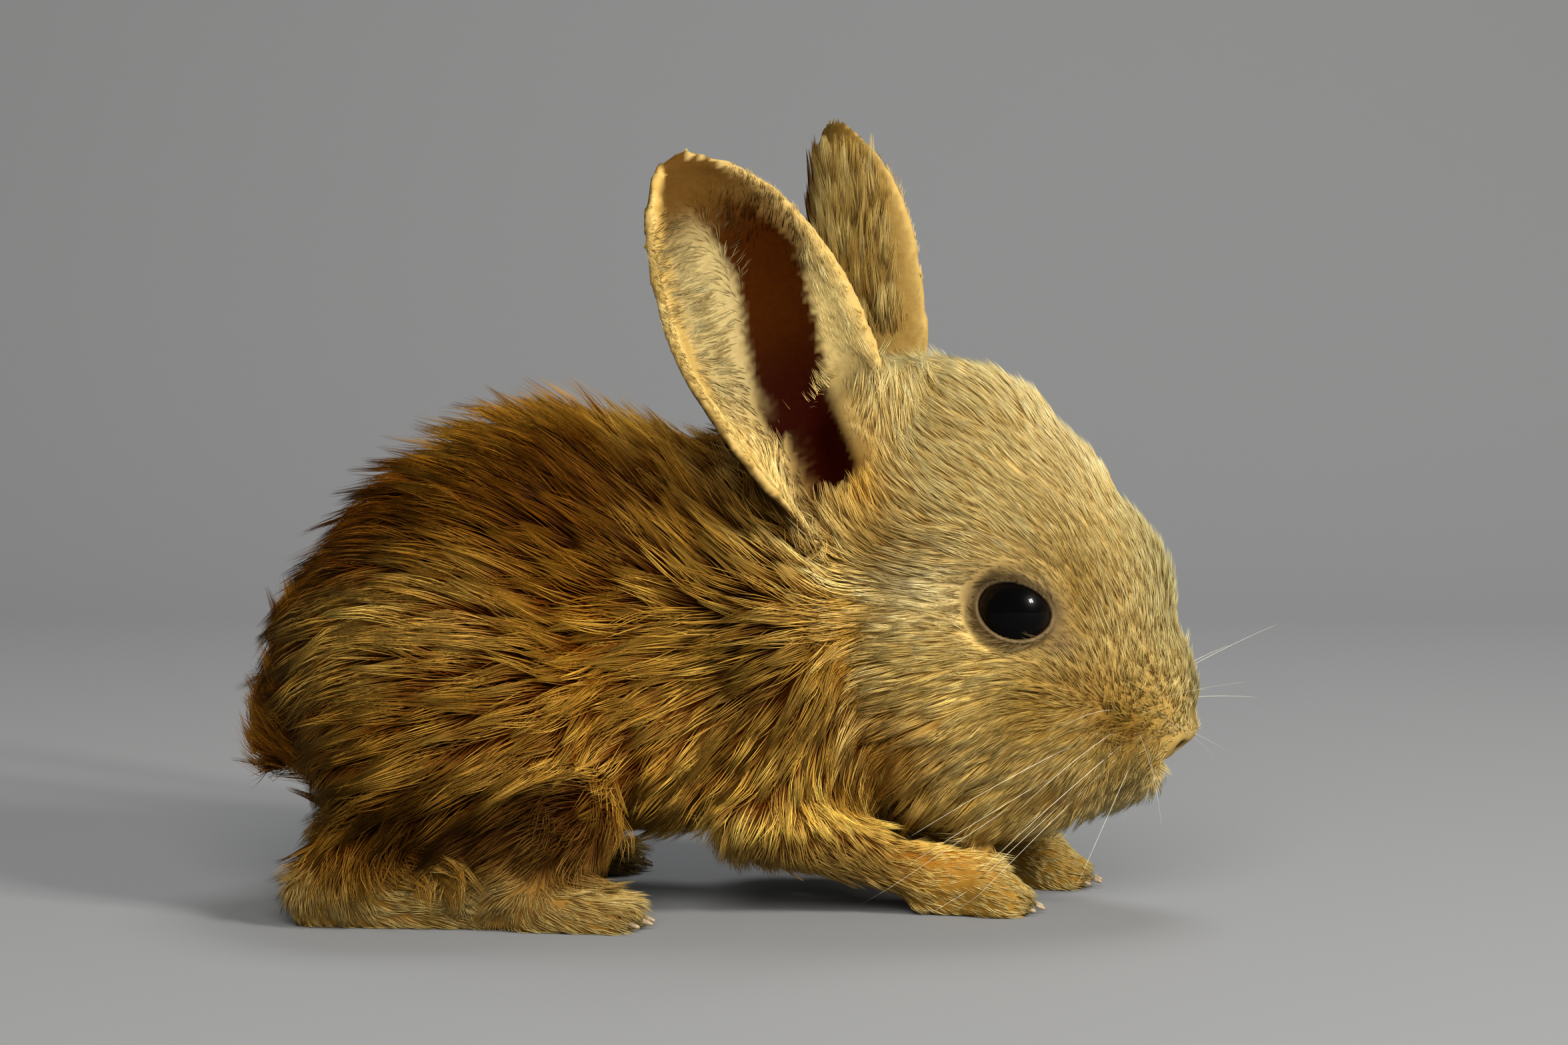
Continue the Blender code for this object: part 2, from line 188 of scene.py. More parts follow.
covered = [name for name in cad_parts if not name.startswith("claw")]
flesh, flesh_family, flesh_tree = flesh_of(covered)
ear_faces = [face for face, mark in zip(flesh.faces, flesh_family) if mark == EAR]
on_an_ear = {corner for face in ear_faces for corner in face.verts}
for vertex in flesh.verts:
    if vertex not in on_an_ear:
        vertex.co += vertex.normal * SWELL * MM
skin_mesh = bpy.data.meshes.new("skin")
flesh.to_mesh(skin_mesh)
flesh.free()
skin = link("skin", skin_mesh)
melt = skin.modifiers.new("melt", "REMESH")
melt.mode = "VOXEL"
melt.voxel_size = SKIN_GRAIN * MM
apply_all(skin)
skin = biggest_island(skin)
skin.name = "skin"

# The head's own axes, from the point between its two eyes: ahead, to the left and up.
eye_places = {side: sum(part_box(f"eye_{side}"), Vector()) / 2 for side in SIDES}
BROW = (eye_places["right"] + eye_places["left"]) / 2
HEAD_LEFT = (eye_places["left"] - eye_places["right"]).normalized()
HEAD_AHEAD = HEAD_LEFT.cross(Vector((0, 0, 1))).normalized()
HEAD_UP = HEAD_AHEAD.cross(HEAD_LEFT)
HEAD_AXES = np.array([HEAD_AHEAD, HEAD_LEFT, HEAD_UP])
EYE_RADIUS = 6.4
EYE_FORWARD = math.radians(8)
EYE_RISE = 0.06
LID_TILT = math.radians(18)
# Balls in which the hide gets finer faces.
LIP_FINE = Vector((22, 0, -22)), 9
EYE_FINE_OUT, EYE_FINE_RADIUS = 5, 10.5
FINE_CUTS = 2


def from_head(place):
    """A place in the head's own millimetres, in metres in the frame."""
    return np.array(BROW) + np.asarray(place, float) @ HEAD_AXES * MM


def in_head(points):
    """Points of the frame, in the head's own millimetres."""
    return (points - np.array(BROW)) @ HEAD_AXES.T / MM


def eye_axes(side):
    """Rows: to the front corner of the lids, up, and out of the head."""
    out = Vector((math.sin(EYE_FORWARD), math.cos(EYE_FORWARD) * SIDES[side], EYE_RISE)).normalized()
    front = Vector((math.cos(LID_TILT), 0, -math.sin(LID_TILT)))
    front = (front - out * front.dot(out)).normalized()
    above = out.cross(front) * -SIDES[side]
    return np.array([front, above * (1 if above.z > 0 else -1), out]) @ HEAD_AXES


def refine(piece, spots, cuts):
    """Subdivide the faces near some places, for finer forms there."""
    bm = bmesh.new()
    bm.from_mesh(piece.data)
    chosen = set()
    for face in bm.faces:
        centre = face.calc_center_median()
        if any((centre - place).length < radius for place, radius in spots):
            chosen.update(face.edges)
    bmesh.ops.subdivide_edges(bm, edges=list(chosen), cuts=cuts, use_grid_fill=True)
    many = [face for face in bm.faces if len(face.verts) > 4]
    bmesh.ops.triangulate(bm, faces=many)
    bm.to_mesh(piece.data)
    bm.free()


spots = [(Vector(from_head(LIP_FINE[0])), LIP_FINE[1] * MM)]
for side in SIDES:
    out = Vector(eye_axes(side)[2])
    spots.append((eye_places[side] + out * EYE_FINE_OUT * MM, EYE_FINE_RADIUS * MM))
refine(skin, spots, FINE_CUTS)

points = read(skin.data.vertices, "co", 3)
skin.data.calc_loop_triangles()
triangles = read(skin.data.loop_triangles, "vertices", 3, np.int32)
edges = read(skin.data.edges, "vertices", 2, np.int32)
nearest = [flesh_tree.find_nearest(Vector(p))[2] for p in points]
own_family = np.array(flesh_family)[nearest]
membership = np.eye(len(FAMILIES))[own_family]
membership = relaxed(membership, edges, BLEND_ROUNDS)


def by_family(table, missing=0.0):
    """A value for each vertex of the skin from a table by family, blended where families meet."""
    return membership @ np.array([table.get(name, missing) for name in FAMILIES])


rounds = by_family(SMOOTHING, BODY_SMOOTHING)
for step in range(int(rounds.max())):
    points = relaxed(points, edges, 1, 0.5 * np.clip(rounds - step, 0, 1)[:, None])

# Thin ears would shrink if they were only relaxed, so each smoothing of them is followed by a swelling.
ear_share = np.clip(by_family({"ear": 1}), 0, 1)[:, None]
for step in range(EAR_ROUNDS):
    points = relaxed(points, edges, 1, EAR_SHRINK * ear_share)
    points = relaxed(points, edges, 1, EAR_SWELL * ear_share)

# The hide is pushed in by the depth of the coat in small steps, each followed by a slight smoothing. The
# coat is thinner round the nose and thicker on top of the back.
PUSH_STEPS, PUSH_SMOOTHING = 6, 0.25
NOSE_SPOT, NOSE_THINNING = ((24, 0, -15), (6, 7, 8)), 0.65
BACK_SPOT, BACK_DEPTH = ((-20, 0, 82), (36, 24, 16)), 3.0
FLAT_HEIGHTS, FLAT_LEVEL = (2.2, 0.9), 0.15
RIM_ROUNDS, RIM_STRAY = 10, (0.5, 1.0)
floor_share = smooth_step(*FLAT_HEIGHTS, points[:, 2] / MM)
thinning = NOSE_THINNING * near_spot(in_head(points), *NOSE_SPOT)
depth = by_family(COAT_DEPTH) * (1 - thinning) + SWELL * (1 - ear_share[:, 0])
depth += BACK_DEPTH * near_spot(points / MM, *BACK_SPOT) * (1 - by_family({"head": 1, "ear": 1}))
smoothing = PUSH_SMOOTHING * (1 - np.clip(by_family({"ear": 1, "head": 0.7}), 0, 1))[:, None]
for step in range(PUSH_STEPS):
    points = points - vertex_normals(points, triangles) * (depth / PUSH_STEPS * MM)[:, None]
    points = relaxed(points, edges, 1, smoothing)

# Where the skin of an ear's rim still stands out of its calm run, it is laid back into it.
calm = relaxed(points, edges, RIM_ROUNDS)
stray = np.linalg.norm(points - calm, axis=1) / MM
points += (calm - points) * (smooth_step(*RIM_STRAY, stray) * ear_share[:, 0])[:, None]

# The lids are rims of bare skin that lie on the eyeball, round an almond opening with a fold behind them.
# Inside the opening the hide passes under the ball.
LID_OPENING = {"front": 5.5, "rear": 5.1, "height": 3.85}
LID_CENTRE = (-0.2, 0.45)
LID_UNDER, LID_TUCK, LID_OVER = 0.7, 1.5, 0.45
LID_INNER = 0.95
LID_FOLD = {"height": 0.25, "at": 1.12, "width": 0.08}
# Shares of the opening: where the rim begins and ends, where its fold has gone and where no lid is left.
LID_RIM, LID_FADE, LID_REACH = (0.96, 1.05), (1.12, 1.9), 2.4
BALL_RIM, BALL_MARGIN = 0.97, 0.15
FAR_OFF = 9.0
lid_share = np.full(len(points), FAR_OFF)
lid_height = np.zeros(len(points))
under_ball = np.zeros(len(points))
for side in SIDES:
    axes = eye_axes(side)
    centre = np.array(eye_places[side])
    u, v, w = ((points - centre) @ axes.T / MM).T
    along = (u - LID_CENTRE[0]) / np.where(u > LID_CENTRE[0], LID_OPENING["front"], LID_OPENING["rear"])
    height = (v - LID_CENTRE[1]) / LID_OPENING["height"]
    share = np.hypot(along, height)
    near = (w > 0) & (share < LID_REACH)
    reach = np.minimum(u ** 2 + v ** 2, (BALL_RIM * EYE_RADIUS) ** 2)
    ball = np.sqrt(EYE_RADIUS ** 2 - reach)
    under = ball - LID_UNDER - LID_TUCK * np.clip(LID_INNER - share, 0, 1)
    fold = np.exp(-((share - LID_FOLD["at"]) / LID_FOLD["width"]) ** 2)
    rim = ball + LID_OVER + LID_FOLD["height"] * fold
    shaped = under + (rim - under) * smooth_step(*LID_RIM, share)
    shaped += (w - shaped) * smooth_step(*LID_FADE, share)
    points[near] += ((shaped - w)[:, None] * axes[2] * MM)[near]
    lid_share = np.where(near, np.minimum(lid_share, share), lid_share)
    lid_height = np.where(near, height, lid_height)
    inside = np.linalg.norm(points - centre, axis=1) < (EYE_RADIUS + BALL_MARGIN) * MM
    under_ball = np.maximum(under_ball, inside)

# The nostrils are pits at the front corners of the nose, over a groove under it and a cleft down the lip.
NOSTRIL, NOSTRIL_RADII, NOSTRIL_DEPTH = (23.2, 4.0, -21.5), (2.8, 1.7, 1.1), 2.0
CLEFT_DEPTH, CLEFT_HALF_WIDTH = 0.7, 0.45
CLEFT_AHEAD, CLEFT_FOOT, CLEFT_TOP = (19, 21), (-28, -26), (-20.5, -22)
# Depth of each form (less than nothing stands out), its height and half height, half width, and the
# places ahead over which it sets in.
NOSE_FORMS = {
    "under_nose": (2.2, -24.2, 1.0, 6, (17, 20.5)),
    "nose_pad": (-2.2, -20.6, 2.4, 4.6, (18.5, 21)),
    "upper_lip": (-1.1, -28, 2.6, 9, (14, 18)),
}
head_places = in_head(points)
x, y, z = head_places.T
nostril = np.sum(((np.stack([x, np.abs(y), z], 1) - NOSTRIL) / NOSTRIL_RADII) ** 2, 1)
nostril = np.clip(1 - nostril, 0, 1)
cleft = np.exp(-(y / CLEFT_HALF_WIDTH) ** 2) * smooth_step(*CLEFT_AHEAD, x)
cleft = cleft * smooth_step(*CLEFT_FOOT, z) * smooth_step(*CLEFT_TOP, z)
pushed = NOSTRIL_DEPTH * nostril + CLEFT_DEPTH * cleft
nose_shares = {}
for name, (form_depth, level, half_height, half_width, ahead) in NOSE_FORMS.items():
    share = np.exp(-((z - level) / half_height) ** 2 - (y / half_width) ** 2) * smooth_step(*ahead, x)
    pushed += form_depth * share
    nose_shares[name] = share
under_nose = nose_shares["under_nose"]
points -= np.array(HEAD_AHEAD) * (pushed * MM)[:, None]
points[:, 2] += (FLAT_LEVEL * MM - points[:, 2]) * floor_share
points[:, 2] = np.maximum(points[:, 2], FLAT_LEVEL * MM)


# Each ear is a leaf of gristle with skin on both sides, curled about its length into a cup. The leaf is
# retraced in rows and columns, so that any place on the ear's skin knows how far along the ear it is, how
# far across from the front rim at -1 to the rear rim at 1, and whether it looks into the cup.
# Root, bend and tip of the leaf, which way it opens in degrees, its size, and the side of its rear rim.
EAR_LEAVES = {
    "right": ((19.64, -11, 56), (6.14, -13, 86), (-6.36, -19, 111), -66, 1.0, 1),
    "left": ((21.64, 8, 62), (17.64, 11, 92), (18.14, 13, 117), 36, 0.9, -1),
}
EAR_HALF_WIDTH, EAR_FOOT_SHARE, EAR_LEAST_SHARE = 17, 0.78, 0.16
EAR_WIDEST, EAR_TIP_POWERS = 0.42, (2.4, 0.6)
EAR_CURL, EAR_CURL_LOST = 105, 65
EAR_ROWS, EAR_COLUMNS = 60, 41
EAR_FLARE = 3.2
INSIDE_FACING, LEAST_EAR = (-0.25, 0.25), 0.01
# Along, across and half width, as shares of the leaf, of the bowl of the cup and of the pit at its foot.
BOWL = (0.15, 0.5), -0.08, 0.22
PIT = (0.15, 0.37), 0.08, 0.03
FOOT_REACH, FOOT_DEPTH, BOWL_SOFTNESS, BOWL_REACH = 18, 9, 1.9, 5.5
PIT_HALF_WIDTH, PIT_DRAW, PIT_FLOOR = 3.0, 0.8, 0.8


def search_tree(places):
    """A tree that finds the nearest of some places."""
    tree = KDTree(len(places))
    for index, place in enumerate(places):
        tree.insert(place, index)
    tree.balance()
    return tree


def ear_leaf(root, bend, tip, opens, scale, rear_sign):
    """Places all over the leaf and, at each, how far along and across, and the ways up, rearwards and in."""
    root, bend, tip = (np.array(place, float) for place in (root, bend, tip))
    along, across = (grid.ravel()[:, None] for grid in np.meshgrid(
        np.linspace(0, 1, EAR_ROWS), np.linspace(-1, 1, EAR_COLUMNS), indexing="ij"))
    spine = (root + (bend - root) * along) * (1 - along) + (bend + (tip - bend) * along) * along
    axis = unit((bend - root) * (1 - along) + (tip - bend) * along)
    opening = np.array([math.cos(math.radians(opens)), math.sin(math.radians(opens)), 0])
    opening = unit(opening - axis * np.sum(axis * opening, 1)[:, None])
    low = EAR_FOOT_SHARE + (1 - EAR_FOOT_SHARE) * np.sin(math.pi / 2 * np.minimum(along / EAR_WIDEST, 1))
    beyond = np.clip((along - EAR_WIDEST) / (1 - EAR_WIDEST), 0, 1)
    high = (1 - beyond ** EAR_TIP_POWERS[0]) ** EAR_TIP_POWERS[1]
    share = np.maximum(np.where(along < EAR_WIDEST, low, high), EAR_LEAST_SHARE)
    half_width = EAR_HALF_WIDTH * scale * share
    curl = np.radians(EAR_CURL - EAR_CURL_LOST * np.sqrt(along))
    radius, angle = half_width / curl, across * curl
    side = np.cross(opening, axis)
    places = spine + side * radius * np.sin(angle) + opening * radius * (1 - np.cos(angle))
    rearwards = (side * np.cos(angle) + opening * np.sin(angle)) * rear_sign
    inwards = opening * np.cos(angle) - side * np.sin(angle)
    return places * MM, np.hstack([along, across * rear_sign]), axis, rearwards, inwards


normals = vertex_normals(points, triangles)
ear_along, ear_rear, ear_inside, pit, bowl, near_bowl = (np.zeros(len(points)) for _ in range(6))
ear_axis, ear_rearwards = np.zeros_like(points), np.zeros_like(points)
for side, leaf in EAR_LEAVES.items():
    places, shares, axis, rearwards, inwards = ear_leaf(*leaf)
    tree = search_tree(places)
    mine = np.flatnonzero((ear_share[:, 0] > LEAST_EAR) & (points[:, 1] * SIDES[side] > 0))
    spot = [tree.find(points[index])[1] for index in mine]
    ear_along[mine], ear_rear[mine] = shares[spot].T
    ear_axis[mine], ear_rearwards[mine] = axis[spot], rearwards[spot]
    ear_inside[mine] = smooth_step(*INSIDE_FACING, np.sum(normals[mine] * inwards[spot], 1))
    # The bowl of the cup is bare, and in the pit at its foot the hide is drawn in towards the leaf.
    for part in (BOWL, PIT):
        (low, high), across, half_width = part
        wanted = (shares[:, 0] > low) & (shares[:, 0] < high)
        foot = np.flatnonzero(wanted & (np.abs(shares[:, 1] - across) < half_width))
        away = np.linalg.norm(points - places[foot].mean(0), axis=1)
        for index in np.flatnonzero(away < FOOT_REACH * MM):
            closest = foot[np.argmin(np.linalg.norm(places[foot] - points[index], axis=1))]
            apart = (points[index] - places[closest]) / MM
            over = apart @ inwards[closest]
            aside = math.hypot(apart @ rearwards[closest], apart @ axis[closest])
            if normals[index] @ inwards[closest] < 0 or over > FOOT_DEPTH:
                continue
            if part is BOWL:
                bowl[index] = math.exp(-(aside / BOWL_SOFTNESS) ** 2)
                near_bowl[index] = math.exp(-(aside / BOWL_REACH) ** 2)
            elif over > PIT_FLOOR:
                pit[index] = math.exp(-(aside / PIT_HALF_WIDTH) ** 2)
                points[index] -= inwards[closest] * (over - PIT_FLOOR) * PIT_DRAW * pit[index] * MM
ear_share = ear_share[:, 0]
flare = EAR_FLARE * ear_share * smooth_step(0.1, 0.9, ear_rear) * smooth_step(0.02, 0.2, ear_along)
flare *= smooth_step(0.8, 0.5, ear_along) * (points[:, 1] < 0)
points += ear_rearwards * flare[:, None] * MM
skin.data.vertices.foreach_set("co", points.astype(np.float32).ravel())
skin.data.update()
skin.data.shade_smooth()

# An unwrap of the hide, which the hide and the coat on it share.
UNWRAP_ANGLE, UNWRAP_MARGIN = math.radians(70), 0.004
select_only(skin)
bpy.ops.object.mode_set(mode="EDIT")
bpy.ops.mesh.select_all(action="SELECT")
bpy.ops.uv.smart_project(angle_limit=UNWRAP_ANGLE, island_margin=UNWRAP_MARGIN)
bpy.ops.object.mode_set(mode="OBJECT")
skin.data.uv_layers.active.name = "OFBake"


# The markings are one thing for hide and coat: pale gold tips over orange-brown roots, darker along the back,
# palest round the eye and on the feet. The dark roots are partly painted shade deep in the coat and between
# its locks, and the pale tips are partly painted light glowing through them. Some areas below are painted
# shade or painted light, as said at each. Each area is a soft ball with a colour for tips and roots.
FAMILY_COLOURS = {
    "head": ((215, 205, 148), (156, 120, 42)),
    "neck": ((190, 146, 54), (70, 27, 0)),
    "chest": ((204, 162, 64), (88, 38, 1)),
    "loin": ((172, 126, 34), (88, 36, 0)),
    # The rump is darker partly by its own colour and partly by painted shade, where the light falls off
    # towards the rear.
    "rump": ((112, 67, 6), (48, 15, 0)),
    "tail": ((150, 112, 48), (70, 34, 6)),
    "ear": ((180, 158, 92), (110, 78, 30)),
    "upper_arm": ((198, 160, 68), (78, 34, 1)),
    "forearm": ((164, 134, 66), (88, 50, 8)),
    "forepaw": ((184, 170, 112), (134, 102, 40)),
    "thigh": ((158, 117, 34), (76, 32, 0)),
    "shank": ((156, 120, 44), (84, 42, 4)),
    "hind_foot": ((166, 150, 94), (122, 92, 40)),
    "eye": ((188, 168, 112), (124, 98, 54)),
}
# Centre, radii, then the colours of tips and roots: first in the head's own millimetres, then in the frame's.
HEAD_AREAS = [
    ((-14, 17, 2), (14, 9, 4.5), (244, 240, 204), (232, 216, 146)),
    ((0, 16, 0), (9, 7, 8), (206, 184, 120), (148, 114, 52)),
    ((-8, 14, -12), (10, 12, 8), (238, 228, 158), (216, 178, 84)),
    ((4, 13, -14), (6, 9, 6), (184, 156, 76), (128, 90, 22)),
    ((9, 10, 0), (6, 8, 10), (164, 140, 78), (112, 82, 26)),
    ((12, 0, 24), (20, 9, 12), (206, 196, 150), (146, 118, 62)),
    ((20, 0, 0), (8, 6, 14), (150, 144, 102), (100, 84, 46)),
    ((-22, 15, 16), (7, 6, 8), (232, 188, 84), (138, 80, 12)),
    ((-19, 17, 8), (7, 6, 5), (196, 160, 78), (110, 68, 12)),
    ((15, 8, -17), (9, 7, 7), (164, 142, 68), (110, 76, 18)),
    ((13, 9, -16), (2.0, 3, 1.6), (140, 108, 52), (84, 56, 18)),
    ((17, 9, -18), (1.6, 3, 1.4), (146, 114, 56), (88, 60, 20)),
    ((9, 10, -12), (5, 5, 3), (164, 130, 58), (96, 58, 12)),
    # Painted shadow in the mouth's crease under the whisker pad.
    ((7, 12, -25.5), (7, 5, 2.0), (140, 100, 38), (50, 22, 3)),
    ((25, 0, -14), (3, 4, 6), (104, 98, 62), (76, 64, 38)),
    # Painted shade in the nostril.
    ((23.5, 4.2, -21.6), (2.6, 1.8, 1.3), (40, 24, 12), (24, 12, 6)),
    ((4, 0, -32), (16, 9, 5), (236, 232, 196), (214, 190, 126)),
    ((-18, 16, -20), (10, 8, 8), (206, 156, 50), (148, 90, 10)),
    # Pale under the jaw: partly its own colour, partly painted light against the underside's shade.
    ((-10, 12, -29), (13, 10, 6), (254, 232, 134), (212, 164, 60)),
    ((-25, 17, -1), (8, 9, 8), (255, 236, 154), (222, 182, 84)),
    ((8, 14, -5), (2, 3, 1.8), (130, 106, 76), (86, 60, 40)),
]
BODY_AREAS = [
    ((-22, 0, 80), (34, 15, 12), (168, 130, 60), (56, 24, 0)),
    ((4, 0, 74), (12, 12, 12), (108, 70, 16), (32, 9, 0)),
    # The rump: partly its own darker colour, partly painted shade towards the rear.
    ((-62, 14, 38), (15, 24, 26), (92, 57, 6), (44, 13, 0)),
    ((-40, 28, 43), (18, 14, 8), (214, 176, 82), (92, 44, 1)),
    # Near-black roots: painted shade in the gaps between the shoulder's tufts under the cheek.
    ((6, 22, 43), (10, 9, 13), (204, 158, 62), (5, 0, 0)),
    ((13, 21, 48), (5, 8, 5), (222, 184, 92), (122, 76, 14)),
    # Darker under the cheek, with near-black roots: painted shade.
    ((18, 21, 35), (6, 9, 6), (120, 80, 20), (5, 0, 0)),
    # Paler low on the flank, partly its own colour and partly painted light against the underside's shade.
    ((-10, 25, 27), (32, 14, 7), (222, 176, 76), (92, 44, 2)),
    ((-9, 20, 62), (30, 12, 9), (80, 40, 3), (16, 1, 0)),
    ((-10, 22, 54), (20, 10, 6), (120, 72, 12), (26, 4, 0)),
    # Painted shade low on the flank, where the hair folds under.
    ((-30, 28, 18), (24, 12, 7), (76, 44, 6), (38, 15, 0)),
    ((25, 20, 49), (8, 12, 6), (255, 234, 152), (222, 180, 82)),
    ((23, 20, 39), (7, 12, 6), (232, 192, 92), (152, 106, 28)),
    # Painted light in the shaded hollow between the chin and the forelegs.
    ((30, 10, 11), (9, 12, 6), (255, 224, 120), (160, 104, 24)),
    # Painted shade low on the chest, behind the foreleg.
    ((17, 18, 10), (11, 10, 7), (120, 84, 26), (50, 25, 2)),
    # Painted light under the cheek, in the head's shade.
    ((14, 20, 22), (12, 9, 10), (252, 210, 98), (92, 40, 1)),
    ((30, 10, 18), (10, 12, 9), (250, 206, 94), (112, 60, 4)),
    ((-10, 0, 6), (34, 22, 8), (190, 170, 112), (120, 90, 44)),
]


def linear(colours):
    """Display colours from 0 to 255 as linear light."""
    share = np.asarray(colours, float) / 255
    return np.where(share <= 0.04045, share / 12.92, ((share + 0.055) / 1.055) ** 2.4)


def markings_and_painted_light(places, members):
    """Tip and root colours of the coat at some places, whose blend of families is known."""
    tips = members @ linear([FAMILY_COLOURS[name][0] for name in FAMILIES])
    roots = members @ linear([FAMILY_COLOURS[name][1] for name in FAMILIES])
    on_head = members[:, [FAMILIES.index("head"), FAMILIES.index("eye")]].sum(1)
    for areas, own, share in (
        (HEAD_AREAS, in_head(places), on_head),
        (BODY_AREAS, places / MM, 1 - on_head - members[:, EAR]),
    ):
        own = np.stack([own[:, 0], np.abs(own[:, 1]), own[:, 2]], 1)
        for centre, radii, tip, root in areas:
            near = near_spot(own, centre, radii) * share
            tips += (linear(tip) - tips) * near[:, None]
            roots += (linear(root) - roots) * near[:, None]
    return tips, roots


def add_attribute(mesh, name, kind, values):
    """Store a value for each vertex: a number, or a colour."""
    made = mesh.attributes.new(name, kind, "POINT")
    if kind == "FLOAT_COLOR":
        values = np.concatenate([values, np.ones((len(values), 1))], 1)
    made.data.foreach_set("color" if kind == "FLOAT_COLOR" else "value", values.astype(np.float32).ravel())


class Nodes:
    """A short way to build a material's nodes."""

    def __init__(self, name):
        self.material = bpy.data.materials.new(name)
        self.material.use_nodes = True
        self.tree = self.material.node_tree
        self.shader = self.tree.nodes["Principled BSDF"]

    def add(self, kind, **settings):
        node = self.tree.nodes.new(kind)
        inputs = settings.pop("inputs", {})
        for key, value in settings.items():
            setattr(node, key, value)
        for key, value in inputs.items():
            self.put(node, key, value)
        return node

    def put(self, node, key, value):
        if isinstance(value, bpy.types.NodeSocket):
            self.tree.links.new(value, node.inputs[key])
        else:
            node.inputs[key].default_value = value

    def maths(self, operation, a, b=0.0):
        return self.add("ShaderNodeMath", operation=operation, inputs={0: a, 1: b}).outputs[0]

    def mix(self, share, a, b, blend="MIX"):
        node = self.add("ShaderNodeMix", data_type="RGBA", blend_type=blend)
        self.put(node, "Factor", share)
        self.put(node, 6, a)
        self.put(node, 7, b)
        return node.outputs[2]

    def over(self, colour, pattern, share, other, blend="MIX"):
        """Lay another colour over one where a pattern is bright, by a share of it."""
        return self.mix(self.maths("MULTIPLY", pattern, share), colour, other, blend)

    def noise(self, vector, scale, detail=3.0, roughness=0.55):
        inputs = {"Vector": vector, "Scale": scale, "Detail": detail, "Roughness": roughness}
        return self.add("ShaderNodeTexNoise", inputs=inputs).outputs["Fac"]

    def attribute(self, name, output):
        return self.add("ShaderNodeAttribute", attribute_name=name).outputs[output]

    def place(self):
        return self.add("ShaderNodeTexCoord").outputs["Object"]

    def bump(self, height, strength, distance):
        inputs = {"Height": height, "Strength": strength, "Distance": distance}
        self.put(self.shader, "Normal", self.add("ShaderNodeBump", inputs=inputs).outputs["Normal"])

    def finish(self, **sockets):
        for key, value in sockets.items():
            self.put(self.shader, key.replace("_", " "), value)
        return self.material


def hide_material():
    """Skin under the coat: the markings' root colour, which shows as painted shade in the gaps of the coat;
    grey-brown on bare lids, with painted shade on the upper lid, in the nostrils and in the groove under the
    nose.
    """
    m = Nodes("hide")
    fine = m.noise(m.place(), scale=900.0)
    broad = m.noise(m.place(), scale=120.0)
    colour = m.attribute("marking_and_painted_light", "Color")
    colour = m.mix(m.attribute("bare", "Fac"), colour, m.attribute("bare_colour", "Color"))
    colour = m.over(colour, fine, 0.6, (0.45, 0.32, 0.22, 1), "MULTIPLY")
    colour = m.over(colour, broad, 0.4, (0.6, 0.5, 0.4, 1), "MULTIPLY")
    m.bump(fine, strength=0.35, distance=0.0004)
    return m.finish(Base_Color=colour, Roughness=0.8, Specular_IOR_Level=0.02)


HIDE_TIP_SHARE = {"head": 0.3, "ear": 0.48, "eye": 0.3}
LID_GREY = linear((122, 108, 78))
UPPER_LID_PAINTED_SHADE = 0.6
LID_EDGE = linear((58, 46, 30))
NOSTRIL_PAINTED_SHADE = linear((30, 16, 8))

# Inside the ear the hollow is bare and dark, with painted shade deepening it towards the foot and near black
# in the bowl and pit at the foot. Pale hair grows from its rear edge out to the rim, and brown hair with pale
# streaks from its front edge and under the tip. Both sides of the rim are gold, save where painted shade
# darkens the rear of the ear's back and dims the far ear's rim.
# Each edge of the hollow: shares along the ear, and how far across it lies there.
HOLLOW_REAR = (
    [0.06, 0.14, 0.29, 0.41, 0.51, 0.65, 0.8, 0.89, 0.95],
    [-0.3, -0.0, 0.11, 0.21, 0.11, -0.07, -0.04, 0.12, 0.4],
)
HOLLOW_FRONT = (
    [0.06, 0.14, 0.31, 0.4, 0.53, 0.68, 0.8, 0.89, 0.95],
    [-0.35, -0.25, -0.32, -0.45, -0.57, -0.7, -0.59, -0.25, 0.3],
)
past_hollow = ear_rear - np.interp(ear_along, *HOLLOW_REAR)
before_hollow = np.interp(ear_along, *HOLLOW_FRONT) - ear_rear
across_ear = np.abs(ear_rear)
ear_rim = smooth_step(0.78, 1.0, across_ear) * ear_share
in_ear = ear_inside * ear_share
out_of_ear = (1 - ear_inside) * ear_share
far_ear = out_of_ear * (points[:, 1] > 0)
rear_hair = in_ear * smooth_step(-0.05, 0.1, past_hollow)
front_hair = in_ear * smooth_step(0.0, 0.1, before_hollow)
# The rim's gold is taken off the rear of the ear's back and dimmed on the far ear: painted shade there.
gold_rim = ear_rim * (1 - out_of_ear * smooth_step(0.0, 0.5, ear_rear)) * (1 - 0.65 * far_ear)
# Where painted shade, near black, lies in the bowl and pit at the foot of the cup.
shaded_foot_of_cup = np.clip(pit * 2 + bowl, 0, 1) * smooth_step(0.52, 0.3, ear_along)
# Painted shade in the fold over the upper lid, under the brow.
shaded_lid_fold = smooth_step(1.4, 1.12, lid_share) * np.clip(lid_height * 1.5, 0, 1)
hollow = in_ear * smooth_step(0.06, -0.06, past_hollow) * smooth_step(0.06, -0.06, before_hollow)
hollow *= smooth_step(0.8, 0.62, ear_along)

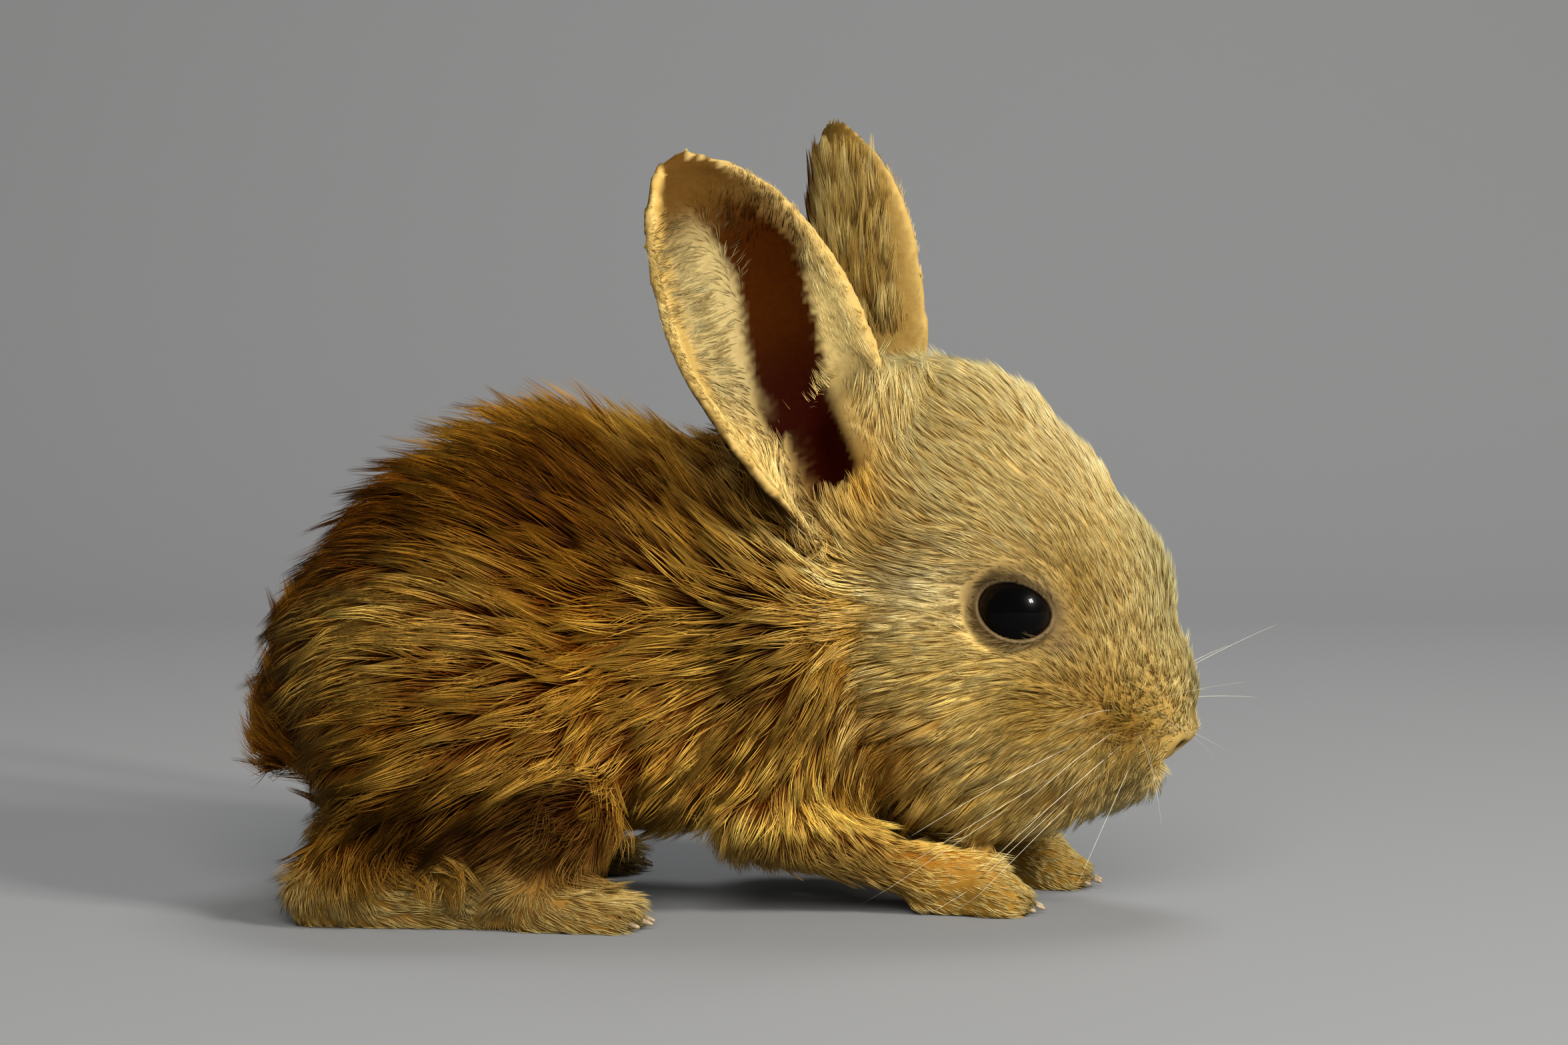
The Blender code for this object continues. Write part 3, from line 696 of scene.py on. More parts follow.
# Where and how much, then the colours of tips and roots, one laid over the other.
EAR_AND_LID_COLOURS = [
    (in_ear, (47, 19, 0), (42, 16, 0)),
    # Painted shade, deeper towards the foot of the cup.
    (in_ear * smooth_step(0.6, 0.25, ear_along), (29, 5, 0), (26, 4, 0)),
    (rear_hair, (170, 158, 112), (138, 120, 74)),
    (rear_hair * smooth_step(0.45, 0.2, ear_along), (236, 212, 140), (170, 136, 70)),
    (front_hair, (146, 122, 70), (58, 32, 8)),
    (front_hair * smooth_step(0.7, 0.5, ear_along), (206, 192, 134), (152, 128, 68)),
    (in_ear * smooth_step(0.72, 0.9, ear_along), (96, 70, 28), (46, 24, 5)),
    (out_of_ear * smooth_step(0.1, -0.5, ear_rear), (164, 138, 76), (80, 54, 14)),
    # Painted shade on the rear part of the ear's back.
    (out_of_ear * smooth_step(-0.1, 0.45, ear_rear), (56, 24, 2), (28, 9, 0)),
    (out_of_ear * smooth_step(0.8, 1, ear_along), (110, 88, 38), (58, 38, 10)),
    (in_ear * smooth_step(0.5, 0.8, ear_rear), (206, 180, 104), (132, 96, 38)),
    (gold_rim, (222, 204, 136), (164, 134, 76)),
    (smooth_step(0.9, 1.0, across_ear) * ear_share, (208, 184, 112), (140, 104, 46)),
    # Painted shade, near black, in the bowl and pit at the ear's foot.
    (shaded_foot_of_cup, (30, 4, 0), (28, 3, 0)),
    (0.85 * smooth_step(1.9, 1.4, lid_share), (160, 140, 88), (108, 88, 50)),
    (smooth_step(1.5, 1.18, lid_share), (138, 120, 82), (94, 76, 48)),
    # Painted shade in the fold over the upper lid.
    (shaded_lid_fold, (92, 78, 50), (48, 38, 22)),
]
tips, bases = markings_and_painted_light(points, membership)
for share, tip, root in EAR_AND_LID_COLOURS:
    for colours, colour in ((tips, tip), (bases, root)):
        colours += (linear(colour) - colours) * share[:, None]

lid_bare = smooth_step(1.16, 1.06, lid_share)
lid_edge = smooth_step(1.1, 1.02, lid_share)
bare = np.clip(lid_bare + 2.5 * nostril + 0.5 * under_nose, 0, 1)
bare_colour = LID_GREY + (LID_EDGE - LID_GREY) * lid_edge[:, None]
# The upper lid's bare skin darkens upwards: painted shade under the brow.
bare_colour = bare_colour * (1 - UPPER_LID_PAINTED_SHADE * np.clip(lid_height, 0, 1))[:, None]
# Painted shade in the nostrils and in the groove under the nose.
nose_pit_shade = np.clip(nostril * 3 + 0.6 * under_nose, 0, 1)
bare_colour = bare_colour + (NOSTRIL_PAINTED_SHADE - bare_colour) * nose_pit_shade[:, None]
tip_share = by_family(HIDE_TIP_SHARE)
hide_colour = bases + (tips - bases) * tip_share[:, None]
add_attribute(skin.data, "marking_and_painted_light", "FLOAT_COLOR", hide_colour)
add_attribute(skin.data, "bare", "FLOAT", bare)
add_attribute(skin.data, "bare_colour", "FLOAT_COLOR", bare_colour)
skin.data.materials.clear()
skin.data.materials.append(hide_material())
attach(skin, "root")
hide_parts(*[name for name in covered if not name.startswith("eye")])


# Each eye is a ball, nearly all pupil in this light, with a dark brown iris that shows as a faint ring,
# under a clear wet cornea that bulges a little.
CORNEA_REACH, CORNEA_BULGE = 0.62, 0.035
# Shares of the radius and the colours there, from the pupil out to the rim.
PUPIL = 0.6, (0.0005, 0.0004, 0.0004, 1)
IRIS = [
    (0.72, (0.002, 0.0012, 0.0008, 1)),
    (0.8, (0.006, 0.0035, 0.002, 1)),
    (0.86, (0.002, 0.0012, 0.0008, 1)),
]
EYE_RIM = 0.98, (0.003, 0.002, 0.0015, 1)


def eye_material(side, turn):
    """Black pupil, very dark brown iris with fine spokes, brown-black rim, all under a clear coat."""
    m = Nodes(f"eye_{side}")
    mapping = m.add("ShaderNodeMapping", vector_type="TEXTURE")
    m.put(mapping, "Vector", m.place())
    m.put(mapping, "Location", tuple(eye_places[side]))
    m.put(mapping, "Rotation", tuple(turn))
    apart = m.add("ShaderNodeSeparateXYZ", inputs={0: mapping.outputs[0]})
    x, y = apart.outputs[0], apart.outputs[1]
    squares = m.maths("ADD", m.maths("MULTIPLY", x, x), m.maths("MULTIPLY", y, y))
    radius = m.maths("DIVIDE", m.maths("SQRT", squares), EYE_RADIUS * MM)
    way = m.add("ShaderNodeVectorMath", operation="NORMALIZE", inputs={0: mapping.outputs[0]}).outputs[0]
    spokes = m.maths("MULTIPLY", m.noise(way, scale=26.0), 0.03)
    ramp = m.add("ShaderNodeValToRGB", inputs={0: m.maths("ADD", radius, spokes)})
    stops = ramp.color_ramp.elements
    stops[0].position, stops[0].color = PUPIL
    stops[1].position, stops[1].color = EYE_RIM
    for position, colour in IRIS:
        stops.new(position).color = colour
    return m.finish(Base_Color=ramp.outputs[0], Roughness=0.3, Specular_IOR_Level=0.03, Coat_Weight=0.4,
                    Coat_Roughness=0.0, Coat_IOR=1.25)


for side in SIDES:
    turn = Matrix(eye_axes(side)).transposed()
    if turn.determinant() < 0:
        turn.col[1] *= -1
    bpy.ops.object.select_all(action="DESELECT")
    bpy.ops.mesh.primitive_uv_sphere_add(segments=72, ring_count=48, radius=EYE_RADIUS * MM)
    eye = bpy.context.object
    eye.name = f"eyeball_{side}"
    for vertex in eye.data.vertices:
        out = vertex.co.z / (EYE_RADIUS * MM)
        lift = smooth_step(CORNEA_REACH, 1.0, np.float64(out))
        vertex.co *= 1 + CORNEA_BULGE * float(lift)
    eye.data.transform(Matrix.Translation(eye_places[side]) @ turn.to_4x4())
    eye.data.shade_smooth()
    eye.data.materials.append(eye_material(side, turn.to_euler()))
    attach(eye, "root")
    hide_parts(f"eye_{side}")


# The coat is set in tufts, root by root, as it grows: each is a thin three-sided spike that leaves the
# hide, bends over and follows the lie of the coat. Near tufts lean together at their tips into locks.
# A lie is a place and the way the coat runs there, both mirrored to the other side: first in the head's own
# axes and millimetres, then in the frame's.
HEAD_LIE = [
    (25, 0, -12, -0.1, 0, 1), (24, 0, -4, -0.25, 0, 1), (21, 0, 6, -0.45, 0, 0.9),
    (14, 0, 17, -0.65, 0, 0.75), (5, 0, 26, -0.85, 0, 0.5), (-6, 0, 33, -1, 0, 0.15),
    (-19, 0, 34, -1, 0, -0.1), (-32, 0, 26, -0.9, 0, -0.5), (20, 8, -4, -0.25, 0.1, 1),
    (15, 10, 2, -0.35, 0.1, 1), (12, 12, 9, -0.5, 0.1, 0.9), (4, 14, 12, -0.75, 0.1, 0.65),
    (-4, 14, 18, -0.8, 0, 0.6), (-10, 16, 9, -0.95, 0.1, 0.3), (-6, 12, 26, -0.85, 0, 0.45),
    (-13, 16, 17, -0.7, 0, 0.7), (-20, 16, 13, -0.35, 0, 0.95), (-26, 15, 20, 0.2, 0, 1),
    (-22, 12, 27, 0.15, 0, 1), (-17, 12, 23, -0.15, 0, 1), (-15, 9, 31, -0.2, 0, 1),
    (-27, 16, 14, -0.1, 0, 1), (-10, 17, 3, -1, 0.1, 0.12), (-20, 19, 3, -0.95, 0, 0.15),
    (-16, 19, -3, -1, 0, -0.12), (0, 17, -8, -1, 0.1, -0.12), (8, 14, -6, -0.7, 0.1, 0.55),
    (-10, 20, -12, -0.95, 0, -0.35), (-24, 18, -10, -0.9, 0, -0.45), (-2, 19, -17, -0.85, 0, -0.5),
    (-12, 18, -25, -0.65, 0, -0.75), (-22, 15, -25, -0.55, 0, -0.85), (10, 12, -9, -0.65, 0.1, 0.75),
    (16, 9, -9, -0.15, 0.1, 1), (9, 12, -17, -1, 0.1, -0.15), (8, 11, -22, -0.85, 0.1, -0.65),
    (14, 10, -24, -0.45, 0.1, -0.9), (19, 8, -22, -0.4, 0.1, -0.9), (20, 7, -18, -0.8, 0.4, -0.1),
    (19, 8, -13, -0.3, 0.1, 0.9), (23, 4, -19, -0.4, 0.4, 0.8), (23, 4, -24.5, -0.1, 0.2, -1),
    (20, 0, -26, 0, 0, -1), (12, 0, -31, -0.6, 0, -0.7), (12, 6, -29, -0.5, 0, -0.85),
    (0, 0, -35, -1, 0, -0.1), (0, 10, -31, -0.7, 0, -0.7), (-14, 0, -32, -1, 0, 0),
    (24.5, 3, -16, 0, 0.3, 0.6),
]
BODY_LIE = [
    (16, 0, 78, -0.8, 0, 0.4), (0, 0, 77, -0.6, 0, 0.7), (-22, 0, 79, -0.6, 0, 0.6),
    (-44, 0, 72, -0.8, 0, 0.35), (-60, 0, 58, -0.75, 0, -0.55), (-70, 0, 38, -0.4, 0, -0.9),
    (4, 18, 66, -0.6, 0.05, 0.75), (-16, 20, 68, -0.7, 0.05, 0.65), (-36, 22, 64, -0.85, 0.05, 0.4),
    (-54, 20, 54, -0.9, 0, -0.1), (12, 20, 54, -0.6, 0.2, 0.5), (0, 24, 52, -0.65, 0.1, 0.6),
    (-20, 28, 54, -0.85, 0.05, 0.4), (-40, 30, 50, -0.95, 0, 0.15), (-58, 24, 40, -0.85, -0.2, -0.35),
    (6, 24, 40, -0.95, 0.1, -0.15), (-10, 26, 40, -1, 0, -0.05), (-28, 34, 38, -1, 0, -0.1),
    (-46, 36, 34, -0.95, -0.05, -0.25), (-60, 28, 26, -0.7, -0.15, -0.7), (12, 22, 30, -0.6, 0.1, -0.8),
    (0, 22, 26, -0.75, 0, -0.6), (-16, 28, 26, -0.9, 0, -0.35), (-34, 36, 22, -0.9, 0, -0.35),
    (-54, 32, 18, -0.8, 0, -0.55), (22, 18, 24, -0.35, 0.05, -0.95), (18, 16, 16, -0.1, 0, -1),
    (6, 19, 16, -0.3, 0, -0.9), (-14, 24, 14, -0.75, 0, -0.6), (-30, 30, 12, -0.8, 0, -0.55),
    (30, 0, 22, -0.35, 0, -0.9), (16, 0, 10, -0.9, 0, -0.3), (-20, 0, 8, -1, 0, 0),
    (-50, 0, 8, -1, 0, 0.2), (16, 16, 9, 0.9, 0, -0.3), (30, 14, 7, 1, 0, -0.15),
    (46, 13, 5, 1, 0, -0.25), (-56, 24, 8, 0.2, 0, -0.9), (-44, 25, 5, 1, 0, -0.1),
    (-20, 27, 4, 1, 0, -0.2), (-64, 0, 30, -0.3, 0, 1), (-70, 0, 26, -0.5, 0, 0.8),
]
LIE_SOFTNESS, LIE_REACH_POWER = 4.0, 2.5
SIDED_FROM = 0.5

# For each family: length, lift from the hide at root and tip in degrees, thickness, how far apart the
# locks are, how much a lock gathers, how many tufts grow on a square millimetre and how unruly they are.
COAT = {
    "head": (5.4, 26, 9, 0.145, 1.1, 0.5, 4.7, 6),
    "neck": (11.5, 36, 15, 0.23, 2.4, 0.8, 2.7, 9),
    "chest": (12, 36, 15, 0.23, 2.5, 0.82, 2.7, 10),
    "loin": (14.5, 34, 15, 0.23, 2.6, 0.88, 2.45, 9),
    "rump": (13.5, 33, 14, 0.23, 2.6, 0.82, 2.4, 10),
    "tail": (6.5, 30, 15, 0.22, 1.8, 0.6, 3.4, 14),
    "ear": (3.6, 10, 3, 0.16, 1.3, 0.5, 4.5, 8),
    "upper_arm": (10.5, 36, 15, 0.23, 2.4, 0.8, 2.7, 10),
    "forearm": (5.5, 26, 9, 0.19, 1.5, 0.55, 4.0, 12),
    "forepaw": (2.8, 20, 7, 0.16, 1.0, 0.45, 5.0, 10),
    "thigh": (13.5, 33, 14, 0.23, 2.6, 0.86, 2.4, 10),
    "shank": (9, 30, 12, 0.21, 2.0, 0.65, 3.0, 12),
    "hind_foot": (4.0, 22, 8, 0.17, 1.2, 0.45, 4.6, 10),
    "eye": (2.4, 20, 8, 0.15, 0.8, 0.2, 8.0, 6),
}
STYLE = ("length", "lift_root", "lift_tip", "thickness", "spacing", "gather", "density", "jitter")
style = {key: by_family({name: COAT[name][k] for name in COAT}) for k, key in enumerate(STYLE)}

# Spots where the coat differs from its family's, as centre and radii, mirrored to the other side: those of
# head and ears in the head's own millimetres, those of the body in the frame's.
HEAD_SPOTS = {
    "muzzle": ((19, 5, -18), (9, 9, 11)),
    "nose_tip": ((25, 0, -15), (3.5, 4, 6)),
    "brow": ((14, 4, 12), (16, 12, 18)),
    "cheek": ((-16, 16, -20), (14, 10, 15)),
    "nape": ((-28, 14, -6), (9, 12, 18)),
    "under_eye": ((7.5, 13, -3), (3.5, 6, 5)),
    "lip": ((23, 2, -22.5), (4, 5, 3.5)),
    "by_nostril": ((24, 2.8, -22.4), (3, 2.8, 2.2)),
    "chin": ((20, 3, -27), (4, 6, 4)),
    "jaw": ((-8, 12, -28), (12, 9, 6)),
    "behind_cheek": ((-24, 16, -14), (8, 10, 14)),
    "whorl": ((13.5, 9, -16.5), (3, 4, 3)),
    "parting": ((19.5, 7, -15.5), (5, 5, 4.5)),
    "rear_cheek": ((-24, 16, -12), (9, 12, 16)),
}
BODY_SPOTS = {
    "back": BACK_SPOT,
    "throat": ((32, 4, 14), (9, 14, 8)),
    "belly": ((-10, 0, 4), (60, 20, 14)),
}
EAR_FOOT_SPOTS = {
    "ear_front": ((-21, 11, 29), (8, 8, 9)),
    "under_hollow": ((-28, 15, 18), (7, 6, 7)),
}
NOSTRIL_OPENING = (23.4, 4.1, -21.6), (3.0, 2.0, 1.4)
# What each area adds to a value of the style, or by what share it scales the value, in this order.
CHANGES = [
    ("length", "gain", {"cheek": 3.2, "muzzle": -1.6, "nose_tip": -2.0, "brow": -0.5, "nape": 4.5}),
    ("length", "scale", {"eye_ring": -0.35, "under_eye": -0.6, "lip": -0.72}),
    ("length", "scale", {"by_nostril": -0.75, "chin": -0.4}),
    ("length", "gain", {"jaw": 3.2, "behind_cheek": 2}),
    ("length", "scale", {"parting": -0.25}),
    ("length", "gain", {"throat": 2.5, "back": -1.0}),
    ("length", "scale", {"belly": -0.35}),
    ("length", "gain", {"far_back": 3.4, "ear_back": 0.6}),
    ("length", "scale", {"near_side": -0.5, "back_edge": -0.75, "behind_cup": -0.65}),
    ("length", "gain", {"inner_rear": 1.6}),
    ("length", "scale", {"ear_rim": -0.5, "ear_tip": -0.8}),
    ("length", "gain", {"ear_front": 4.5}),
    ("length", "scale", {"under_hollow": -0.6, "round_bowl": -0.8}),
    ("lift_root", "gain", {"nape": 8, "cheek": 8, "muzzle": 8, "nose_tip": -10, "brow": -8, "eye_ring": -8}),
    ("lift_root", "gain", {"lip": -10, "whorl": 14, "parting": 24, "back": 24, "ear_spine": 4, "in_ear": 8}),
    ("lift_tip", "gain", {"cheek": 6, "muzzle": 8, "nose_tip": -4, "brow": -4, "whorl": 16, "parting": 30}),
    ("lift_tip", "gain", {"throat": 10, "back": 34, "in_ear": 6}),
    ("gather", "gain", {"nape": 0.25, "jaw": 0.2, "cheek": 0.22, "nose_tip": -0.2, "brow": -0.15}),
    ("gather", "gain", {"back": -0.12, "out_of_ear": 0.2, "in_ear": -0.3}),
    ("gather", "scale", {"behind_cup": -0.8}),
    ("spacing", "gain", {"nape": 0.9, "cheek": 0.8, "out_of_ear": 0.4}),
    ("thickness", "scale", {"eye_ring": -0.3, "nose_tip": -0.25}),
    ("thickness", "gain", {"in_ear": -0.02, "ear_rim": -0.05}),
    ("jitter", "gain", {"whorl": 20, "ruffled": 16, "parting": 25}),
    ("streak", "scale", {"in_ear": -0.6}),
]
style["streak"] = np.ones(len(points))
on_head = by_family({"head": 1, "eye": 1})
off_head = 1 - on_head - by_family({"ear": 1})
near_back = out_of_ear - far_ear
head_places = in_head(points)
head_places[:, 1] = np.abs(head_places[:, 1])
areas = {name: near_spot(head_places, *spot) * on_head for name, spot in HEAD_SPOTS.items()}
areas |= {name: near_spot(points / MM, *spot) * off_head for name, spot in BODY_SPOTS.items()}
areas |= {name: near_spot(head_places, *spot) * (1 - ear_share) for name, spot in EAR_FOOT_SPOTS.items()}
areas |= {
    "eye_ring": smooth_step(2.2, 1.1, lid_share),
    "ruffled": areas["muzzle"] * (1 - areas["nose_tip"]),
    "in_ear": in_ear,
    "out_of_ear": out_of_ear,
    "ear_rim": ear_rim,
    "far_back": far_ear * smooth_step(0.88, 0.6, across_ear),
    "ear_back": out_of_ear * smooth_step(0.88, 0.6, across_ear),
    "ear_spine": out_of_ear * smooth_step(0.85, 0.5, across_ear),
    "near_side": near_back * smooth_step(0.4, 0.8, across_ear),
    "back_edge": out_of_ear * smooth_step(0.6, 0.88, across_ear),
    "behind_cup": near_back * smooth_step(0.5, 0.35, across_ear) * smooth_step(0.5, 0.42, ear_along),
    "inner_rear": in_ear * smooth_step(0, 0.3, past_hollow) * smooth_step(1, 0.6, ear_rear),
    "ear_tip": ear_share * smooth_step(0.76, 0.96, ear_along),
    "round_bowl": near_bowl * (1 - in_ear * smooth_step(-0.1, 0.15, ear_rear)),
}
for key, kind, amounts in CHANGES:
    for name, amount in amounts.items():
        if kind == "gain":
            style[key] += amount * areas[name]
        else:
            style[key] *= 1 + amount * areas[name]

# No hair grows on the lids, in the nostrils, on the soles, in an ear's hollow or in the bowl at its foot.
growing = smooth_step(1.08, 1.2, lid_share) * (1 - np.clip(nostril * 4, 0, 1)) * (1 - 0.8 * under_nose)
growing *= smooth_step(0.25, 0.8, points[:, 2] / MM) * (1 - under_ball)
growing *= 1 - np.clip(2 * near_spot(head_places, *NOSTRIL_OPENING), 0, 1)
cup = (1 - 0.97 * smooth_step(0.1, 0.6, hollow)) * (1 - smooth_step(0.2, 0.45, pit))
cup *= 1 - smooth_step(0.12, 0.5, bowl)
style["density"] *= 1 + 0.5 * areas["nose_tip"] + 0.25 * areas["muzzle"]
style["density"] *= 1 + 0.3 * areas["whorl"]
style["density"] *= growing
style["density"] *= cup
style["density"] *= 1 - smooth_step(0.5, 0.8, near_bowl) * smooth_step(0.05, -0.1, ear_rear)
style["density"] *= 1 + 0.5 * ear_rim
hide_tree = BVHTree.FromPolygons(points.tolist(), triangles.tolist())


def lie_field(lie, places, axes=np.eye(3)):
    """The way of the coat at some places, from the lies near them."""
    spots, ways = np.split(np.array(lie, float), 2, axis=1)
    ways = unit(ways)
    flip = np.array([1, -1, 1])
    sided = np.abs(spots[:, 1]) > SIDED_FROM
    spots = np.concatenate([spots, spots[sided] * flip])
    ways = np.concatenate([ways, ways[sided] * flip]) @ axes
    apart = np.sum(places ** 2, 1)[:, None] - 2 * places @ spots.T + np.sum(spots ** 2, 1)
    nearness = 1 / (np.maximum(apart, 0) + LIE_SOFTNESS ** 2) ** LIE_REACH_POWER
    return unit(nearness @ ways)


def coat_way(places, head_share):
    """The way of the coat on head and body, blended where they meet."""
    on_the_head = lie_field(HEAD_LIE, in_head(places), HEAD_AXES)
    on_the_body = lie_field(BODY_LIE, places / MM)
    return unit(on_the_body + (on_the_head - on_the_body) * head_share[:, None])


# On the back of an ear the hair runs up to the tip. Inside it runs out to the rim: across at the rear, more
# and more upwards lower down, and up and forwards at the front.
EAR_PARTING = [0.1, 0.36], [0.1, 0]
UP_THE_BACK = 8
outwards = ear_rearwards * np.sign(ear_rear - np.interp(ear_along, *EAR_PARTING))[:, None]
rising = 0.15 + 1.6 * smooth_step(0.6, 0.08, ear_along) + smooth_step(0, -0.3, ear_rear)
rising += 2.5 * smooth_step(-0.2, -0.5, ear_rear) * smooth_step(0.7, 0.45, ear_along)
rising += ear_rim * np.where(ear_rear > 0, 1.6, 5) + 5 * ear_rim * smooth_step(0.6, 0.85, ear_along)
rising = np.where(ear_inside > 0.5, rising, UP_THE_BACK)
near_rim = smooth_step(0.55, 0.95, across_ear) * (1 - ear_inside)
ear_way = unit(outwards * (1 - near_rim)[:, None] + ear_axis * rising[:, None])


def mesh_from(name, corners, faces):
    """A mesh of triangles from arrays."""
    mesh = bpy.data.meshes.new(name)
    mesh.vertices.add(len(corners))
    mesh.vertices.foreach_set("co", corners.astype(np.float32).ravel())
    mesh.loops.add(faces.size)
    mesh.loops.foreach_set("vertex_index", faces.astype(np.int32).ravel())
    mesh.polygons.add(len(faces))
    mesh.polygons.foreach_set("loop_start", np.arange(0, faces.size, 3, dtype=np.int32))
    mesh.update()
    mesh.shade_smooth()
    return mesh


uv_of_corner = read(skin.data.uv_layers["OFBake"].data, "uv", 2)
loops_of_triangle = read(skin.data.loop_triangles, "loops", 3, np.int32)


def sow(density, rng):
    """Root places spread over the hide as densely as asked: triangle and share of its corners."""
    a, b, c = (points[triangles[:, k]] for k in range(3))
    area = np.linalg.norm(np.cross(b - a, c - a), axis=1) / 2 / MM ** 2
    expected = np.cumsum(area * density[triangles].mean(1))
    count = int(expected[-1])
    picks = (np.arange(count) + rng.random(count)) * expected[-1] / count
    chosen = np.minimum(np.searchsorted(expected, picks), len(triangles) - 1)
    first, second = rng.random(count), rng.random(count)
    over = first + second > 1
    first[over], second[over] = 1 - first[over], 1 - second[over]
    return chosen, np.stack([1 - first - second, first, second], 1)


def at_roots(values, chosen, shares):
    """Values of the hide's vertices at the roots."""
    corners = values[triangles[chosen]]
    if values.ndim == 1:
        return np.sum(corners * shares, 1)
    return np.einsum("nkd,nk->nd", corners, shares)


LIFT_POWER = 0.7
COMBED_SHARE = 0.35


def grow(places, ups, ways, lengths, lifts, stations, head_share, follow):
    """Paths of tufts from their roots: each leaves the hide at the first lift and ends at the second."""
    path = [places]
    for start, end in zip(stations[:-1], stations[1:]):
        middle = (start + end) / 2
        lift = lifts[0] + (lifts[1] - lifts[0]) * middle ** LIFT_POWER
        step = ways * np.cos(lift)[:, None] + ups * np.sin(lift)[:, None]
        places = places + step * (lengths * (end - start) * MM)[:, None]
        path.append(places)
        if follow:
            ups = np.array([hide_tree.find_nearest(Vector(p))[1] for p in places])
            combed = coat_way(places, head_share)
            ways = ways * (1 - COMBED_SHARE) + combed * COMBED_SHARE
            ways = unit(ways - ups * np.sum(ways * ups, 1)[:, None])
    return np.stack(path, 1)


PATCH = 0.003
SPIKE_TURNS = np.radians([90, 210, 330])
TAPER = {3: (0.9, 0.75), 4: (0.85, 1.0, 0.62), 7: (1.0, 0.9, 0.78, 0.64, 0.48, 0.3)}


def spikes(path, ups, thickness, stations):
    """Corners and faces of a closed three-sided spike along each path, and the share along of each corner."""
    count, stops = path.shape[:2]
    rings = stops - 1
    run = unit(np.diff(path, axis=1))
    ahead = np.concatenate([run[:, :1], unit(run[:, :-1] + run[:, 1:])], 1)
    side = unit(np.cross(ahead, ups[:, None, :]))
    above = np.cross(side, ahead)
    width = (thickness / 2 * MM)[:, None] * np.array(TAPER[stops])
    spokes = side[:, :, None] * np.cos(SPIKE_TURNS)[:, None]
    spokes = spokes + above[:, :, None] * np.sin(SPIKE_TURNS)[:, None]
    corners = path[:, :rings, None] + spokes * width[:, :, None, None]
    corners = np.concatenate([corners.reshape(count, rings * 3, 3), path[:, -1:]], 1)
    faces = [(0, 2, 1)]
    for ring in range(rings):
        for k in range(3):
            here, beside = ring * 3 + k, ring * 3 + (k + 1) % 3
            if ring < rings - 1:
                faces += [(here, beside, here + 3), (beside, beside + 3, here + 3)]
            else:
                faces.append((here, beside, rings * 3))
    share = np.concatenate([np.repeat(stations[:rings], 3), [1.0]])
    across = np.concatenate([np.tile([0, 0.5, 1], rings), [0.5]])
    every = len(share)
    faces = (np.array(faces)[None] + (np.arange(count) * every)[:, None, None]).reshape(-1, 3)
    return corners.reshape(-1, 3), faces, share, across


def set_patches(mesh, place, share, across, faces):
    """Map each tuft to a small patch at its root's place on the unwrap of the hide."""
    place = np.clip(place - PATCH / 2, 0, 1 - PATCH)
    spot = np.stack([across, share], 1) * PATCH
    patch = (place[:, None] + spot[None]).reshape(-1, 2)[faces]
    first = np.arange(0, len(faces), len(faces) // len(place))
    patch[first] += np.array([[0, 0], [0, PATCH / 4], [0, PATCH / 8]])
    mesh.uv_layers.new(name="OFBake").data.foreach_set("uv", patch.astype(np.float32).ravel())


def add_tufts(name, look, path, ups, thickness, stations, colours_at, place):
    """One joined piece of hair: a spike along each path, coloured by how far along each corner is."""
    corners, faces, share, across = spikes(path, ups, thickness, stations)
    mesh = mesh_from(name, corners, faces)
    add_attribute(mesh, "coat_colour", "FLOAT_COLOR", colours_at(share))
    set_patches(mesh, place, share, across, faces)
    mesh.materials.append(look)
    piece = link(name, mesh)
    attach(piece, "root")


def coat_material():
    """Hair: the markings from root to tip, their dark roots partly painted shade and their pale tips partly
    painted light, with fine streaks of lighter and darker hairs.
    """
    m = Nodes("coat")
    place = m.place()
    fine = m.noise(place, scale=2600.0, detail=2.0)
    broad = m.noise(place, scale=160.0, detail=2.0)
    colour = m.attribute("coat_colour", "Color")
    colour = m.over(colour, fine, 0.3, (0.3, 0.16, 0.04, 1), "MULTIPLY")
    colour = m.over(colour, broad, 0.3, (0.9, 0.76, 0.5, 1), "MULTIPLY")
    m.bump(fine, strength=0.2, distance=0.0001)
    return m.finish(Base_Color=colour, Roughness=0.5, Specular_IOR_Level=0.05)


coat_look = coat_material()


# A lighter tuft is paler and a darker one more orange.
TINT_BY_CHANNEL = np.array([0.75, 1.05, 1.7])


def colour_along(tips, roots, share, tint, dark_reach):
    """Colours of each tuft's corners: dark at the root, partly painted shade deep in the coat, and the tip
    colour from part of the way up.
    """
    blend = smooth_step(*dark_reach, share)[None, :, None]
    colours = roots[:, None] + (tips - roots)[:, None] * blend
    return np.clip(colours * tint[:, None, None] ** TINT_BY_CHANNEL, 0, 1).reshape(-1, 3)


ROOT_DEPTH = 0.3
# Random spreads of whole locks and of single tufts, and the bounds of those of length and tint.
SPREADS = {
    "turn": (0.7, 0.5), "length": (0.1, 0.1), "lift": (0.2, 0.15), "gather": (0.08, 0.08),
    "thickness": (0.05, 0.15),
}
LENGTH_CHANGES = -0.3, 0.2
TINT_CHANGES = -0.55, 0.4
LEAST_LIFT = 1
LEAST_LOCK = 1.5
MOST_GATHER, LOCK_BEND = 0.92, 1.25
LOWEST = 0.12


